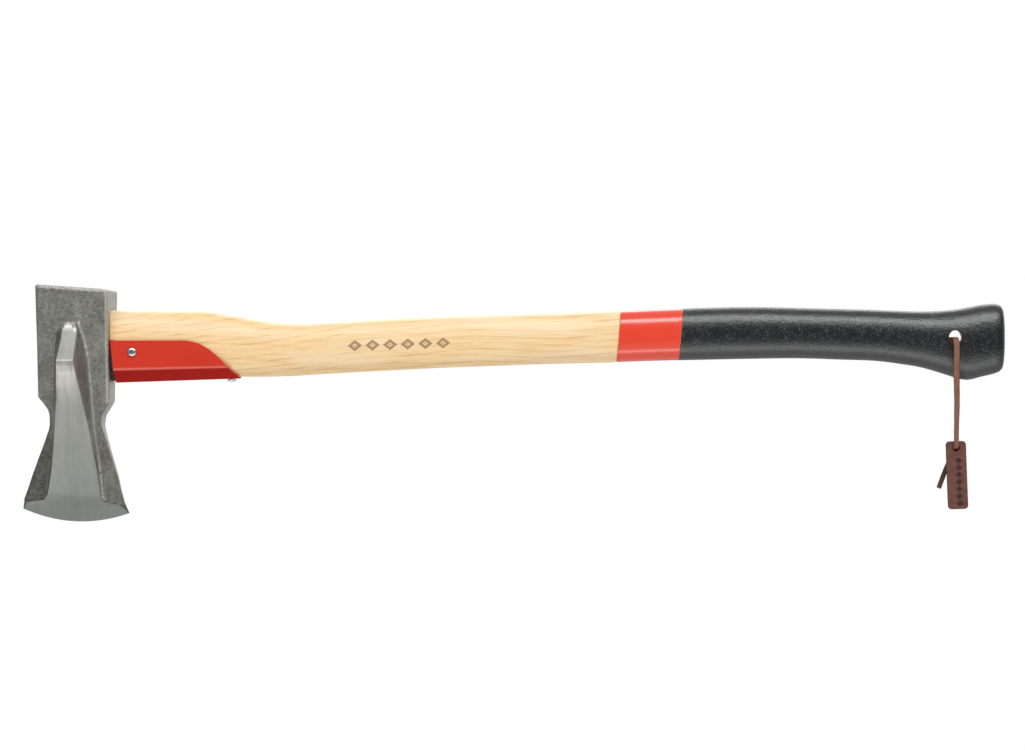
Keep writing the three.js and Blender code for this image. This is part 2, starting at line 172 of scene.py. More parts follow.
class Graph:
    """A node tree under construction."""

    def __init__(self, tree: bpy.types.NodeTree) -> None:
        """Empties the tree and keeps it."""
        self.tree = tree
        self.tree.nodes.clear()

    def feed(self, target: bpy.types.NodeSocket, value: Any) -> None:
        """Links a wire to a socket, or sets the socket's own value.

        Args:
            target: The socket.
            value: A wire, a number, three numbers or a colour.
        """
        if isinstance(value, Wire):
            self.tree.links.new(value.socket, target)
        else:
            target.default_value = (*value, 1.0) if target.type == "RGBA" else value

    def node(self, kind: str, settings: dict, inputs: dict, output: Any = None) -> Wire:
        """Adds any node.

        Args:
            kind: The node's type.
            settings: Properties to set first.
            inputs: Values or wires by socket name or number.
            output: Name or number of the wanted output, or None for the first live one.

        Returns:
            The wanted output, which is empty on a node that has none.
        """
        made = self.tree.nodes.new(kind)
        for key, value in settings.items():
            setattr(made, key, value)
        for key, value in inputs.items():
            self.feed(made.inputs[key], value)
        if output is not None:
            return Wire(self, made.outputs[output])
        return Wire(self, next((socket for socket in made.outputs if socket.enabled), None))

    def parts(self, vector: Wire) -> list[Wire]:
        """A vector's or colour's three numbers."""
        first = self.node("ShaderNodeSeparateXYZ", {}, {0: vector})
        return [Wire(self, socket) for socket in first.socket.node.outputs]


class Paint(Graph):
    """A material under construction, with one Principled shader."""

    def __init__(self, name: str) -> None:
        """Starts an empty material.

        Args:
            name: The material's name.
        """
        self.material = bpy.data.materials.new(name)
        self.material.use_nodes = True
        super().__init__(self.material.node_tree)
        surface = self.node("ShaderNodeBsdfPrincipled", {}, {})
        self.shader = surface.socket.node
        self.node("ShaderNodeOutputMaterial", {}, {"Surface": surface})

    def spot(self) -> Wire:
        """The point on the surface, in metres, in the frame at rest."""
        return self.node("ShaderNodeTexCoord", {}, {}, "Object")

    def stretched(self, vector: Wire, factors: tuple[float, float, float]) -> Wire:
        """The vector scaled by a factor along each axis."""
        settings = {"operation": "MULTIPLY"}
        return self.node("ShaderNodeVectorMath", settings, {0: vector, 1: factors})

    def noise(self, vector: Wire, scale: float, detail: float = 2.0, rough: float = 0.5) -> Wire:
        """Soft noise from 0 to 1.

        Args:
            vector: Where to look the noise up.
            scale: Features per metre of that vector.
            detail: How many finer layers it has.
            rough: How strong the finer layers are.

        Returns:
            The noise.
        """
        inputs = {"Vector": vector, "Scale": scale, "Detail": detail, "Roughness": rough}
        return self.node("ShaderNodeTexNoise", {}, inputs, 0)

    def cells(self, vector: Wire, scale: float) -> Wire:
        """Distance to the nearest of many scattered points, in cell sizes."""
        return self.node("ShaderNodeTexVoronoi", {}, {"Vector": vector, "Scale": scale}, "Distance")

    def mixed(self, first: Any, second: Any, share: Any) -> Wire:
        """A colour between two colours.

        Args:
            first: The colour where share is 0.
            second: The colour where share is 1.
            share: A number or wire from 0 to 1.

        Returns:
            The mixed colour.
        """
        settings = {"data_type": "RGBA"}
        return self.node("ShaderNodeMix", settings, {0: share, 6: first, 7: second}, 2)

    def facing(self) -> list[Wire]:
        """The surface's smooth normal, as three numbers."""
        return self.parts(self.node("ShaderNodeNewGeometry", {}, {}, "Normal"))

    def attribute(self, name: str) -> list[Wire]:
        """The three numbers that a mesh carries under that name."""
        return self.parts(self.node("ShaderNodeAttribute", {"attribute_name": name}, {}, "Color"))

    def done(self, relief: Wire | None = None, depth: float = 0.0, **sockets: Any) -> bpy.types.Material:
        """Feeds the shader and gives the finished material.

        Args:
            relief: Height of the fine relief, from 0 to 1.
            depth: What a relief of 1 stands for, in metres.
            **sockets: Values or wires by the shader's socket names, spaces as underlines.

        Returns:
            The material.
        """
        for key, value in sockets.items():
            self.feed(self.shader.inputs[key.replace("_", " ")], value)
        if relief is not None:
            bump = self.node("ShaderNodeBump", {}, {"Distance": depth, "Height": relief})
            self.feed(self.shader.inputs["Normal"], bump)
        return self.material


# ------------------------------------------------------------------------------- finishes


@dataclass(frozen=True)
class HeadSteel:
    """Blasted forging whose wings, edge and rims are ground bright."""

    forged: Colour = (0.42, 0.42, 0.38)
    forged_dark: Colour = (0.125, 0.125, 0.11)
    # field and field_dark: the darker steel that the painted shade on the lower blade mixes towards
    field: Colour = (0.25, 0.25, 0.225)
    field_dark: Colour = (0.045, 0.045, 0.04)
    ground: Colour = (0.212, 0.218, 0.2)
    facet: Colour = (0.74, 0.73, 0.67)
    worn: Colour = (0.78, 0.77, 0.73)

    def make(self) -> bpy.types.Material:
        """Builds the material; the mesh's "zone" says where it is ground, faceted or worn.

        Returns:
            The material.
        """
        paint = Paint("head_steel")
        spot = paint.spot()
        x, _, z = paint.parts(spot)
        ground, facet, worn = paint.attribute("zone")
        pits = paint.noise(spot, 1300, 4, 0.7)
        lumps = paint.noise(spot, 260, 3, 0.6)
        patches = paint.noise(spot, 48, 3, 0.55)
        strokes = paint.noise(paint.stretched(spot, (1, 0.25, 0.03)), 1500, 2, 0.6)
        broad = paint.noise(paint.stretched(spot, (1, 0.3, 0.12)), 120, 2, 0.5)
        tone = patches.ramp(0.3, 0.7) * 0.24 + pits.ramp(0.42, 0.58) * 0.5 + lumps.ramp(0.38, 0.62) * 0.26
        raw = paint.mixed(self.forged_dark, self.forged, tone)
        # painted shade: the blasted steel darkens towards the blade, half as much towards the rear
        shade = (z * -1).ramp(0.045, 0.125) * (1.0 - (x + 0.675).ramp(0.0, 0.02) * 0.5)
        raw = paint.mixed(raw, paint.mixed(self.field_dark, self.field, tone), shade)
        shine = paint.mixed(self.ground, self.facet, facet)
        streaks = strokes.ramp(0.35, 0.7) * 0.26 + broad.ramp(0.35, 0.7) * 0.4
        shine = paint.mixed(shine, (0.17, 0.175, 0.16), streaks)
        # painted shade: the ground steel darkens towards the cutting edge
        painted_shade_low = (z * -1).ramp(0.06, 0.15) * 0.3 + (z * -1).ramp(0.13, 0.156) * 0.45
        shine = paint.mixed(shine, (0.12, 0.128, 0.12), painted_shade_low)
        bright = (ground + facet).lower(1.0)
        colour = paint.mixed(raw, shine, bright)
        flecks = worn * (pits.ramp(0.42, 0.58) * 0.75 + 0.2)
        colour = paint.mixed(colour, self.worn, flecks)
        relief = (pits * 0.55 + lumps * 0.6 + patches * 0.3) * (1 - bright * 0.94) + strokes * bright * 0.1
        rough = 0.47 - bright * 0.14 - flecks * 0.1 + strokes * bright * 0.1
        return paint.done(relief, 0.0011, Base_Color=colour, Roughness=rough, Metallic=0.92)


@dataclass(frozen=True)
class Wood:
    """Ring-porous wood: growth rings round a leaning axis, with fine pores along the grain."""

    name: str = "ash_wood"
    pale: Colour = (0.975, 0.705, 0.375)
    late: Colour = (0.72, 0.375, 0.13)
    pore: Colour = (0.58, 0.31, 0.115)
    ring: float = 0.0056
    lean: float = 0.045
    sweep: float = 0.03
    strength: float = 0.62
    sheen: float = 0.42
    motif: bool = False

    def make(self) -> bpy.types.Material:
        """Builds the material.

        Returns:
            The material.
        """
        paint = Paint(self.name)
        spot = paint.spot()
        x, y, z = paint.parts(spot)
        drift = paint.noise(paint.stretched(spot, (1, 0.3, 0.3)), 5.0, 1, 0.5)
        jag = paint.noise(paint.stretched(spot, (0.3, 1, 1)), 190.0, 2, 0.6)
        rise = x * self.lean + (x + 0.64).ramp(-0.06, 0.22) * self.sweep
        tall = z - rise + y * y * 9 + (drift - 0.5) * 0.022 + (jag - 0.5) * 0.0016
        turn = tall / self.ring * (2 * math.pi) + drift * 9
        late = (turn.sine() * 0.5 + 0.5).ramp(0.7, 1.0)
        grain = paint.noise(paint.stretched(spot, (0.035, 1, 1)), 1500, 3, 0.6)
        fibre = paint.noise(paint.stretched(spot, (0.05, 1, 1)), 420, 3, 0.55)
        broken = paint.noise(paint.stretched(spot, (0.07, 1, 1)), 300, 2, 0.6).ramp(0.36, 0.62)
        cloud = paint.noise(paint.stretched(spot, (0.2, 1, 1)), 42, 2, 0.5)
        pores = grain.ramp(0.55, 0.7) * (late * 0.8 + 0.2)
        fine = (turn * 3 + fibre * 4).sine().ramp(0.2, 1.0) * fibre.ramp(0.35, 0.6)
        shade = (late * broken * 0.66 + fibre.ramp(0.42, 0.7) * 0.44 + fine * 0.24) * self.strength
        colour = paint.mixed(self.pale, self.late, shade)
        colour = paint.mixed(colour, self.pore, pores * 0.35)
        colour = paint.mixed(colour, (0.98, 0.79, 0.54), cloud.ramp(0.42, 0.72) * 0.7)
        # painted shadow: the wood goes nearly black in the lower part of the gap beside the head
        painted_gap_shadow = (x * -1).ramp(0.6262, 0.6276) * (x + 0.64).ramp(0.0, 0.002) * (z * -1).ramp(0.0045, 0.006)
        colour = paint.mixed(colour, (0.018, 0.01, 0.005), painted_gap_shadow)
        if self.motif:
            colour = paint.mixed(colour, (0.33, 0.2, 0.1), self.lozenges(x, y, z) * (0.75 + fibre * 0.2))
        relief = 1 - pores * 0.6 - late * 0.15
        rough = self.sheen + pores * 0.2 + fibre * 0.08
        return paint.done(relief, 0.00012, Base_Color=colour, Roughness=rough, Coat_Weight=0.06)

    def lozenges(self, x: Wire, y: Wire, z: Wire) -> Wire:
        """A plain row of burnt lozenges on the near side of the shaft.

        Args:
            x: Place along the handle, in metres.
            y: Place across it.
            z: Height.

        Returns:
            1 where the wood is burnt.
        """
        start, pitch, count = -0.4275, 0.0152, 6
        along = ((x - start) / pitch).fraction() - 0.5
        above = z + 0.0101 - (x - start) * 0.03
        shape = along.size() * (pitch / 0.0063) + above.size() * (1 / 0.0049)
        burnt = shape.ramp(1.02, 0.96) * shape.ramp(0.36, 0.42) + shape.ramp(0.2, 0.14)
        end = start + pitch * count
        inside = x.ramp(start - 0.0001, start) * x.ramp(end, end - 0.0001)
        return burnt * inside * (y * -1).ramp(0.004, 0.005)


@dataclass(frozen=True)
class GlossPaint:
    """Red paint with a faint orange peel, thin at the rims."""

    name: str
    colour: Colour
    deep: Colour
    roughness: float
    coat: float
    peel: float = 500.0
    specular: float = 0.5
    # strength of the painted shade on downward faces and of the painted highlight at the fold
    under: float = 0.0

    def make(self) -> bpy.types.Material:
        """Builds the material.

        Returns:
            The material.
        """
        paint = Paint(self.name)
        spot = paint.spot()
        peel = paint.noise(spot, self.peel, 2, 0.5)
        cloud = paint.noise(spot, 38, 3, 0.5)
        scuff = paint.noise(paint.stretched(spot, (0.15, 1, 1)), 300, 3, 0.6)
        colour = paint.mixed(self.colour, self.deep, cloud.ramp(0.45, 0.8) * 0.4)
        if self.under:
            # painted shade: faces that look down are drawn darker
            down = paint.facing()[2] * -1
            low = down.ramp(0.3, 0.62)
            colour = paint.mixed(colour, (0.44, 0.008, 0.005), low * self.under)
            # painted highlight: a lighter line where the side folds into the slant
            crease = down.ramp(0.05, 0.2) * down.ramp(0.52, 0.36)
            colour = paint.mixed(colour, (0.86, 0.26, 0.2), crease * 0.5)
        rough = self.roughness + scuff.ramp(0.5, 0.8) * 0.12
        return paint.done(
            peel,
            0.00006,
            Base_Color=colour,
            Roughness=rough,
            Coat_Weight=self.coat,
            Coat_Roughness=0.12,
            Specular_IOR_Level=self.specular,
        )


@dataclass(frozen=True)
class GripCoat:
    """Black anti-slip coat with coarse grains; a few are shinier and carry a painted glint in their colour.
    """

    base: Colour = (0.0035, 0.004, 0.005)
    lift: Colour = (0.017, 0.019, 0.022)
    # painted glint: the light colour given to the glinting grains
    glint: Colour = (0.16, 0.17, 0.175)

    def make(self) -> bpy.types.Material:
        """Builds the material.

        Returns:
            The material.
        """
        paint = Paint("grip_coat")
        spot = paint.spot()
        grains = paint.noise(spot, 950, 3, 0.6)
        lumps = paint.noise(spot, 330, 2, 0.5)
        painted_glints = paint.cells(spot, 900).ramp(0.34, 0.16) * paint.noise(spot, 300, 1).ramp(0.4, 0.6)
        colour = paint.mixed(self.base, self.lift, grains.ramp(0.45, 0.75))
        # painted glints: the glinting grains are drawn light in the base colour
        colour = paint.mixed(colour, self.glint, painted_glints * 0.62)
        relief = grains * 0.5 + lumps * 0.5 + painted_glints * 0.3
        rough = 0.25 + grains * 0.1 - painted_glints * 0.08
        return paint.done(relief, 0.0004, Base_Color=colour, Roughness=rough, Specular_IOR_Level=1.0)


@dataclass(frozen=True)
class Leather:
    """Vegetable-tanned leather with grain, cut edges and an optional pressed mark."""

    name: str
    colour: Colour
    dark: Colour
    marked: bool = False

    def make(self) -> bpy.types.Material:
        """Builds the material; the mesh's "zone" says where it is edge, pressed or darkened.

        Returns:
            The material.
        """
        paint = Paint(self.name)
        spot = paint.spot()
        edge, pressed, darkened = paint.attribute("zone")
        creases = paint.cells(spot, 1500)
        fibres = paint.noise(spot, 1200, 3, 0.6)
        blotch = paint.noise(spot, 120, 3, 0.55)
        colour = paint.mixed(self.colour, self.dark, blotch.ramp(0.4, 0.75) * 0.55)
        colour = paint.mixed(colour, self.dark, (edge * 0.8 + fibres.ramp(0.5, 0.8) * 0.25).lower(1.0))
        # darker towards the lace tails
        colour = paint.mixed(colour, (0.03, 0.014, 0.009), darkened * (0.55 + blotch * 0.4))
        relief = creases * 0.5 + fibres * 0.4
        if self.marked:
            colour = paint.mixed(colour, (0.018, 0.01, 0.008), pressed * 0.9)
            relief = relief - pressed * 1.5
        rough = 0.55 + fibres * 0.2 - edge * 0.08
        return paint.done(relief, 0.00025, Base_Color=colour, Roughness=rough)


@dataclass(frozen=True)
class BareMetal:
    """Plated or turned steel with fine marks."""

    name: str
    colour: Colour
    tint: Colour
    roughness: float

    def make(self) -> bpy.types.Material:
        """Builds the material.

        Returns:
            The material.
        """
        paint = Paint(self.name)
        spot = paint.spot()
        cloud = paint.noise(spot, 420, 3, 0.55)
        marks = paint.noise(paint.stretched(spot, (1, 1, 0.1)), 2600, 2, 0.6)
        colour = paint.mixed(self.colour, self.tint, cloud.ramp(0.35, 0.7))
        rough = self.roughness + marks * 0.15
        return paint.done(marks, 0.00008, Base_Color=colour, Roughness=rough, Metallic=1.0)


# ------------------------------------------------------------------------------- mesh helpers


class Track:
    """A smooth curve through rows of values, such as a profile or a route."""

    def __init__(self, keys: Sequence[float], rows: Sequence[Sequence[float]]) -> None:
        """Keeps the rows and works out their slopes.

        Args:
            keys: Rising keys.
            rows: One row of values for each key.
        """
        self.keys = np.array(keys, float)
        self.rows = np.array(rows, float)
        self.slopes = np.gradient(self.rows, self.keys, axis=0)

    def at(self, key: float) -> np.ndarray:
        """The values at a key.

        Args:
            key: Where along the track.

        Returns:
            One value for each column.
        """
        key = min(max(key, self.keys[0]), self.keys[-1])
        i = int(min(max(np.searchsorted(self.keys, key) - 1, 0), len(self.keys) - 2))
        width = self.keys[i + 1] - self.keys[i]
        t = (key - self.keys[i]) / width
        rise = (1 - 3 * t**2 + 2 * t**3) * self.rows[i] + (3 * t**2 - 2 * t**3) * self.rows[i + 1]
        lead = (t - 2 * t**2 + t**3) * self.slopes[i] + (t**3 - t**2) * self.slopes[i + 1]
        return rise + lead * width


def route_points(points: Sequence[Sequence[float]], step: float) -> list[Vector]:
    """Evenly spaced points on a smooth curve through a route.

    Args:
        points: The route in millimetres.
        step: Spacing in millimetres.

    Returns:
        Points in millimetres.
    """
    legs = [0.0]
    for a, b in zip(points, points[1:]):
        legs.append(legs[-1] + (Vector(b) - Vector(a)).length)
    track = Track(legs, points)
    return [Vector(track.at(key)) for key in spread(0, legs[-1], step)]


def mesh_object(name: str, points: Sequence[Vector], faces: Sequence[Sequence[int]]) -> bpy.types.Object:
    """Makes a mesh object, turned the right way out when its volume is negative.

    Args:
        name: The piece's name.
        points: Vertices in metres.
        faces: Vertex numbers of each face.

    Returns:
        The object, linked to the scene.
    """
    mesh = bpy.data.meshes.new(name)
    mesh.from_pydata([tuple(p) for p in points], [], [tuple(f) for f in faces])
    mesh.update()
    piece = bpy.data.objects.new(name, mesh)
    bpy.context.scene.collection.objects.link(piece)
    outward(mesh)
    return piece


def outward(mesh: bpy.types.Mesh) -> None:
    """Turns a closed mesh the right way out when its volume is negative.

    Args:
        mesh: The mesh.
    """
    co = np.array([v.co for v in mesh.vertices])
    mesh.calc_loop_triangles()
    tri = np.array([t.vertices for t in mesh.loop_triangles])
    a, b, c = co[tri[:, 0]], co[tri[:, 1]], co[tri[:, 2]]
    if np.einsum("ij,ij->i", a, np.cross(b, c)).sum() < 0:
        mesh.flip_normals()


def loft(name: str, rings: Sequence[Ring], wrapped: bool = False) -> bpy.types.Object:
    """Skins rings of equal counts of points.

    Args:
        name: The piece's name.
        rings: Rings in millimetres of the maul.
        wrapped: Whether the last ring joins the first one instead of both being capped.

    Returns:
        The mesh object.
    """
    count = len(rings[0])
    points = [place(*p) for ring in rings for p in ring]
    rows = len(rings) if wrapped else len(rings) - 1
    faces = []
    for row in range(rows):
        low, high = row * count, ((row + 1) % len(rings)) * count
        for i in range(count):
            j = (i + 1) % count
            faces.append((low + i, low + j, high + j, high + i))
    if not wrapped:
        faces.append(tuple(reversed(range(count))))
        faces.append(tuple(range((len(rings) - 1) * count, len(rings) * count)))
    return mesh_object(name, points, faces)


def settle(piece: bpy.types.Object) -> None:
    """Applies all of a piece's modifiers.

    Args:
        piece: The piece.
    """
    graph = bpy.context.evaluated_depsgraph_get()
    mesh = bpy.data.meshes.new_from_object(piece.evaluated_get(graph))
    piece.modifiers.clear()
    old = piece.data
    piece.data = mesh
    bpy.data.meshes.remove(old)


def carve(piece: bpy.types.Object, *cutters: bpy.types.Object) -> None:
    """Cuts closed shapes out of a piece and removes them.

    Args:
        piece: The piece.
        *cutters: The shapes.
    """
    for cutter in cutters:
        cut = piece.modifiers.new("cut", "BOOLEAN")
        cut.operation = "DIFFERENCE"
        cut.solver = "EXACT"
        cut.object = cutter
        bpy.context.view_layer.update()
        settle(piece)
        bpy.data.objects.remove(cutter)


def bevel(piece: bpy.types.Object, width: float, segments: int = 3, angle: float = 30) -> None:
    """Rounds a piece's sharp edges.

    Args:
        piece: The piece.
        width: Width of the rounding in millimetres.
        segments: Faces across it.
        angle: Edges sharper than this many degrees are rounded.
    """
    rounding = piece.modifiers.new("rounding", "BEVEL")
    rounding.width = width * 0.001
    rounding.segments = segments
    rounding.limit_method = "ANGLE"
    rounding.angle_limit = math.radians(angle)
    bpy.context.view_layer.update()
    settle(piece)


def dress(
    piece: bpy.types.Object,
    material: bpy.types.Material,
    body: Body,
    nodes: Sequence[str],
    crease: float = 32,
) -> bpy.types.Object:
    """Gives a piece its shading, material and body, and hides the CAD nodes that it stands for.

    Args:
        piece: The finished mesh.
        material: Its material.
        body: The body that it rides on.
        nodes: The CAD nodes that it replaces.
        crease: Edges sharper than this many degrees stay sharp.

    Returns:
        The piece.
    """
    mesh = piece.data
    mesh.polygons.foreach_set("use_smooth", [True] * len(mesh.polygons))
    mesh.set_sharp_from_angle(angle=math.radians(crease))
    mesh.materials.clear()
    mesh.materials.append(material)
    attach(piece, body.value)
    if nodes:
        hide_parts(*nodes)
    log.info("%s: %d vertices", piece.name, len(mesh.vertices))
    return piece


def oval(
    x: float,
    top: float,
    bottom: float,
    half: float,
    power: float,
    count: int,
    lean: float = 0.0,
) -> Ring:
    """A superellipse across X.

    Args:
        x: Its distance along the handle.
        top: Its highest point.
        bottom: Its lowest point.
        half: Its half width.
        power: 2 for an ellipse, more for a squarer oval.
        count: How many points it has.
        lean: How far it leans along X for each millimetre of height.

    Returns:
        The ring.
    """
    ring = []
    for i in range(count):
        angle = 2 * math.pi * (i + 0.5) / count
        c, s = math.cos(angle), math.sin(angle)
        y = half * math.copysign(abs(c) ** (2 / power), c)
        z = (top + bottom) / 2 + (top - bottom) / 2 * math.copysign(abs(s) ** (2 / power), s)
        ring.append(Vector((x + lean * z, y, z)))
    return ring


def drill(x: float, z: float, radius: float, half: float, worn: float, drift: float) -> bpy.types.Object:
    """A round cutter along Y, a little wider and further along X on the far side.

    Args:
        x: Its axis along the handle on the near side.
        z: Its axis's height.
        radius: Its radius on the near side.
        half: Half its length.
        worn: How much its radius grows for each millimetre towards the far side.
        drift: How far its axis moves along X for each millimetre.

    Returns:
        The cutter.
    """
    turns = [2 * math.pi * i / 64 for i in range(64)]
    rings = []
    for y in (-half, -13.0, half):
        deep = max(y + 13.0, 0.0)
        r = radius + worn * deep
        rings.append([Vector((x + drift * deep + r * math.cos(t), y, z + r * math.sin(t))) for t in turns])
    return loft("drill", rings)


def paint_zone(piece: bpy.types.Object, rule: Callable[[int, Vector], Colour]) -> None:
    """Stores three numbers on each vertex as the mesh's "zone".

    Args:
        piece: The mesh object.
        rule: Gives the three numbers from a vertex's number and its place in millimetres.
    """
    layer = piece.data.color_attributes.new("zone", "FLOAT_COLOR", "POINT")
    values = []
    for v in piece.data.vertices:
        values.extend((*rule(v.index, v.co * 1000 + GRIP_CENTRE), 1.0))
    layer.data.foreach_set("color", values)


# ------------------------------------------------------------------------------- the head


@dataclass
class MaulHead:
    """The forged head: poll, eye, waist, flared blade and a ground wing on each cheek."""

    poll: float = 50.6
    poll_slope: float = -0.07
    rim: float = 2.4
    eye_top: float = 30.0
    arc_start: float = -83.0
    edge_mean: float = -148.0
    eye: tuple[float, float, float] = (30.8, 13.3, 3.2)  # half height, half width, squareness
    # height, front outline, rear outline, half thickness
    core: tuple = (
        (48.2, -31.3, 31, 27.5),
        (0, -30.8, 30.8, 22),
        (-44, -30.8, 30.8, 17),
        (-46.5, -28.9, 30.8, 16.7),
        (-49, -26.8, 30.5, 16.4),
        (-55, -22.6, 27, 15.7),
        (-58, -21.8, 25.1, 15.4),
        (-61, -21.4, 23.6, 14.9),
        (-68, -21.5, 22.9, 13),
        (-72, -22.6, 23.7, 11.4),
        (-77, -24.6, 25.2, 9.6),
        (-83, -26.9, 27, 8.2),
        (-98, -32.6, 31.4, 6.9),
        (-113, -37.8, 36, 5.6),
        (-125, -41.5, 38.6, 4.1),
        (-137, -45.2, 41.6, 2.5),
        (-148, -46.4, 45.7, 0.3),
    )
    # height, crest's front and rear border, half thickness over the crests, base's borders
    wing: tuple = (
        (23.5, -2.5, 3, 22.6, -8, 5.5),
        (20.5, -4, 3.4, 24.3, -10.5, 6.3),
        (17.5, -5.4, 4, 26.4, -12, 7),
        (14, -6.7, 4.7, 28.2, -13, 7.6),
        (-1.4, -8.4, 4.7, 37.5, -15, 11.4),
        (-13, -9.6, 4.7, 44.7, -16, 13.2),
        (-17, -9.8, 5.3, 43.9, -16.1, 13.5),
        (-22, -10.1, 6.1, 42.5, -16.3, 13.8),
        (-30, -10.5, 7.4, 39.9, -16.6, 14.3),
        (-46.5, -11.3, 10.2, 34.1, -17.2, 15.4),
        (-74.6, -15, 15.2, 24.1, -18.6, 16.8),
        (-95, -17.8, 17.8, 17.2, -20.4, 19.5),
        (-112, -20.8, 20, 11.4, -22.8, 21.4),
        (-127, -24.3, 21.6, 6.5, -25.4, 22.8),
        (-130, -25.6, 22.5, 5.65, -26.6, 23.6),
        (-133.5, -28.6, 25.4, 4.65, -29.4, 26.4),
        (-136.5, -35.6, 31, 3.8, -36.2, 32),
        (-138.7, -42, 38.4, 3.15, -42.4, 38.8),
        (-148, -45.6, 44.9, 0.3, -45.8, 45.1),
    )
    corner: float = 3.0
    crest_round: float = 0.3
    seam_lift: float = 0.35
    wing_top: float = 23.0
    crease: float = -12.5
    bevel_top: float = -138.7
    level_step: float = 1.3
    cheek_columns: int = 16
    wall_columns: int = 7
    crest_columns: int = 20

    def edge_height(self, x: float) -> float:
        """The cutting edge's height at a distance from the eye's centre."""
        return -152.22 - 0.0404 * x + 0.00434 * x * x

    def bent(self, x: float, z: float) -> float:
        """A level's true height, pulled to the sloping poll or to the edge's arc.

        Args:
            x: Distance from the eye's centre.
            z: The level.

        Returns:
            The height at x.
        """
        to_poll = min(max((z - self.eye_top) / (self.poll - self.rim - self.eye_top), 0), 1)
        to_edge = min(max((z - self.arc_start) / (self.edge_mean - self.arc_start), 0), 1)
        return z + to_poll * self.poll_slope * x + to_edge * (self.edge_height(x) - self.edge_mean)

    def row(self, table: tuple, z: float) -> list[float]:
        """A table's row at a height, between its own rows."""
        keys = [-r[0] for r in table]
        return [float(np.interp(-z, keys, [r[i] for r in table])) for i in range(1, len(table[0]))]

    def cheek(self, z: float, inset: float) -> tuple[list[tuple[float, float, str]], float]:
        """One cheek's columns at a height.

        Args:
            z: The level.
            inset: How far the whole outline is pulled in, for the poll's rim.

        Returns:
            The columns as distance, half thickness and zone, and the corner's radius.
        """
        front, rear, core = self.row(self.core, z)
        front, rear, core = front + inset, rear - inset, core - inset
        radius = min(self.corner, 0.75 * core)
        crest_front, crest_rear, top, base_front, base_rear = self.row(self.wing, z)
        top = max(core, top) if z < self.wing_top else core
        raised = min((top - core) / 3, 1)
        lift = self.seam_lift * raised
        crest = top - self.crest_round * raised
        marks = [
            (front + radius, core, "cheek"),
            (max(base_front, front + radius + 0.1), core + lift, "seam"),
            (max(crest_front, front + radius + 0.2), crest, "crest"),
            (min(crest_rear, rear - radius - 0.2), crest, "crest"),
            (min(base_rear, rear - radius - 0.1), core + lift, "seam"),
            (rear - radius, core, "cheek"),
        ]
        cheek, wall = self.cheek_columns, self.wall_columns
        counts = [cheek, wall, self.crest_columns, wall, cheek]
        columns = []
        for (x0, y0, kind0), (x1, y1, kind1), count in zip(marks, marks[1:], counts):
            flat = kind0 == kind1 == "crest"
            by_cheek = "cheek" in (kind0, kind1)
            for i in range(count):
                t = i / count
                if count != self.wall_columns:
                    t = 0.5 - 0.5 * math.cos(math.pi * t)
                y = y0 + (y1 - y0) * t
                if flat and i:
                    y = top
                elif by_cheek and "seam" in (kind0, kind1):
                    y = core + lift * (t if kind1 == "seam" else 1 - t) ** 6
                between = "ground" if flat else ("cheek" if by_cheek else "wall")
                columns.append((x0 + (x1 - x0) * t, y, between if i else kind0))
        columns.append((rear - radius, core, "cheek"))
        return columns, radius

    def ring(self, z: float, inset: float = 0.0) -> tuple[Ring, list[str]]:
        """The whole section at a level, as points and their zones.

        Args:
            z: The level.
            inset: How far it is pulled in.

        Returns:
            The ring and the zone of each of its points.
        """
        columns, radius = self.cheek(z, inset)
        core = columns[0][1]
        flat = core - radius
        front, rear = columns[0][0], columns[-1][0]
        spots = [(x, -y, kind) for x, y, kind in columns]
        arc = [math.pi / 2 * i / 5 for i in range(1, 5)]
        spots += [(rear + radius * math.sin(a), -flat - radius * math.cos(a), "corner") for a in arc]
        spots += [(rear + radius, -flat + 2 * flat * i / 12, "end") for i in range(13)]
        spots += [(rear + radius * math.cos(a), flat + radius * math.sin(a), "corner") for a in arc]
        spots += [(x, y, kind) for x, y, kind in reversed(columns)]
        spots += [(front - radius * math.sin(a), flat + radius * math.cos(a), "corner") for a in arc]
        spots += [(front - radius, flat - 2 * flat * i / 12, "end") for i in range(13)]
        spots += [(front - radius * math.cos(a), -flat - radius * math.sin(a), "corner") for a in arc]
        return [Vector((x, y, self.bent(x, z))) for x, y, _ in spots], [kind for *_, kind in spots]

    def levels(self) -> list[tuple[float, float]]:
        """Every level, from the poll's rim to the edge.

        Returns:
            Each level's height and how far its outline is pulled in.
        """
        top, rim = self.poll - self.rim, self.rim
        turns = (1.5, 1.1, 0.7, 0.35)
        rounding = [(top + rim * math.sin(a), rim * (1 - math.cos(a))) for a in turns]
        breaks = sorted({r[0] for r in self.core} | {r[0] for r in self.wing}, reverse=True)
        heights = []
        for high, low in zip(breaks, breaks[1:]):
            heights += spread(high, low, self.level_step)[:-1]
        return rounding + [(z, 0.0) for z in heights + [breaks[-1]]]

    def zone(self, kind: str, x: float, z_level: float) -> Colour:
        """How ground, faceted and worn a point is.

        Args:
            kind: The point's place in the section.
            x: Its distance along the handle.
            z_level: The level that it belongs to.

        Returns:
            Three numbers from 0 to 1.
        """
        on_crest = kind in ("crest", "ground")
        ground, facet = 0.0, 0.0
        if z_level < self.bevel_top:
            ground = 1.0
        elif on_crest:
            ground = min(max((22 - z_level) / 7, 0), 1)
        if on_crest and z_level < self.crease:
            facet = 0.85 * math.exp(-(((z_level - self.crease + 0.7) / 22) ** 2)) + 0.08
        elif on_crest and z_level < 20:
            facet = 0.16
        return ground, facet, self.wear(kind, x, z_level)

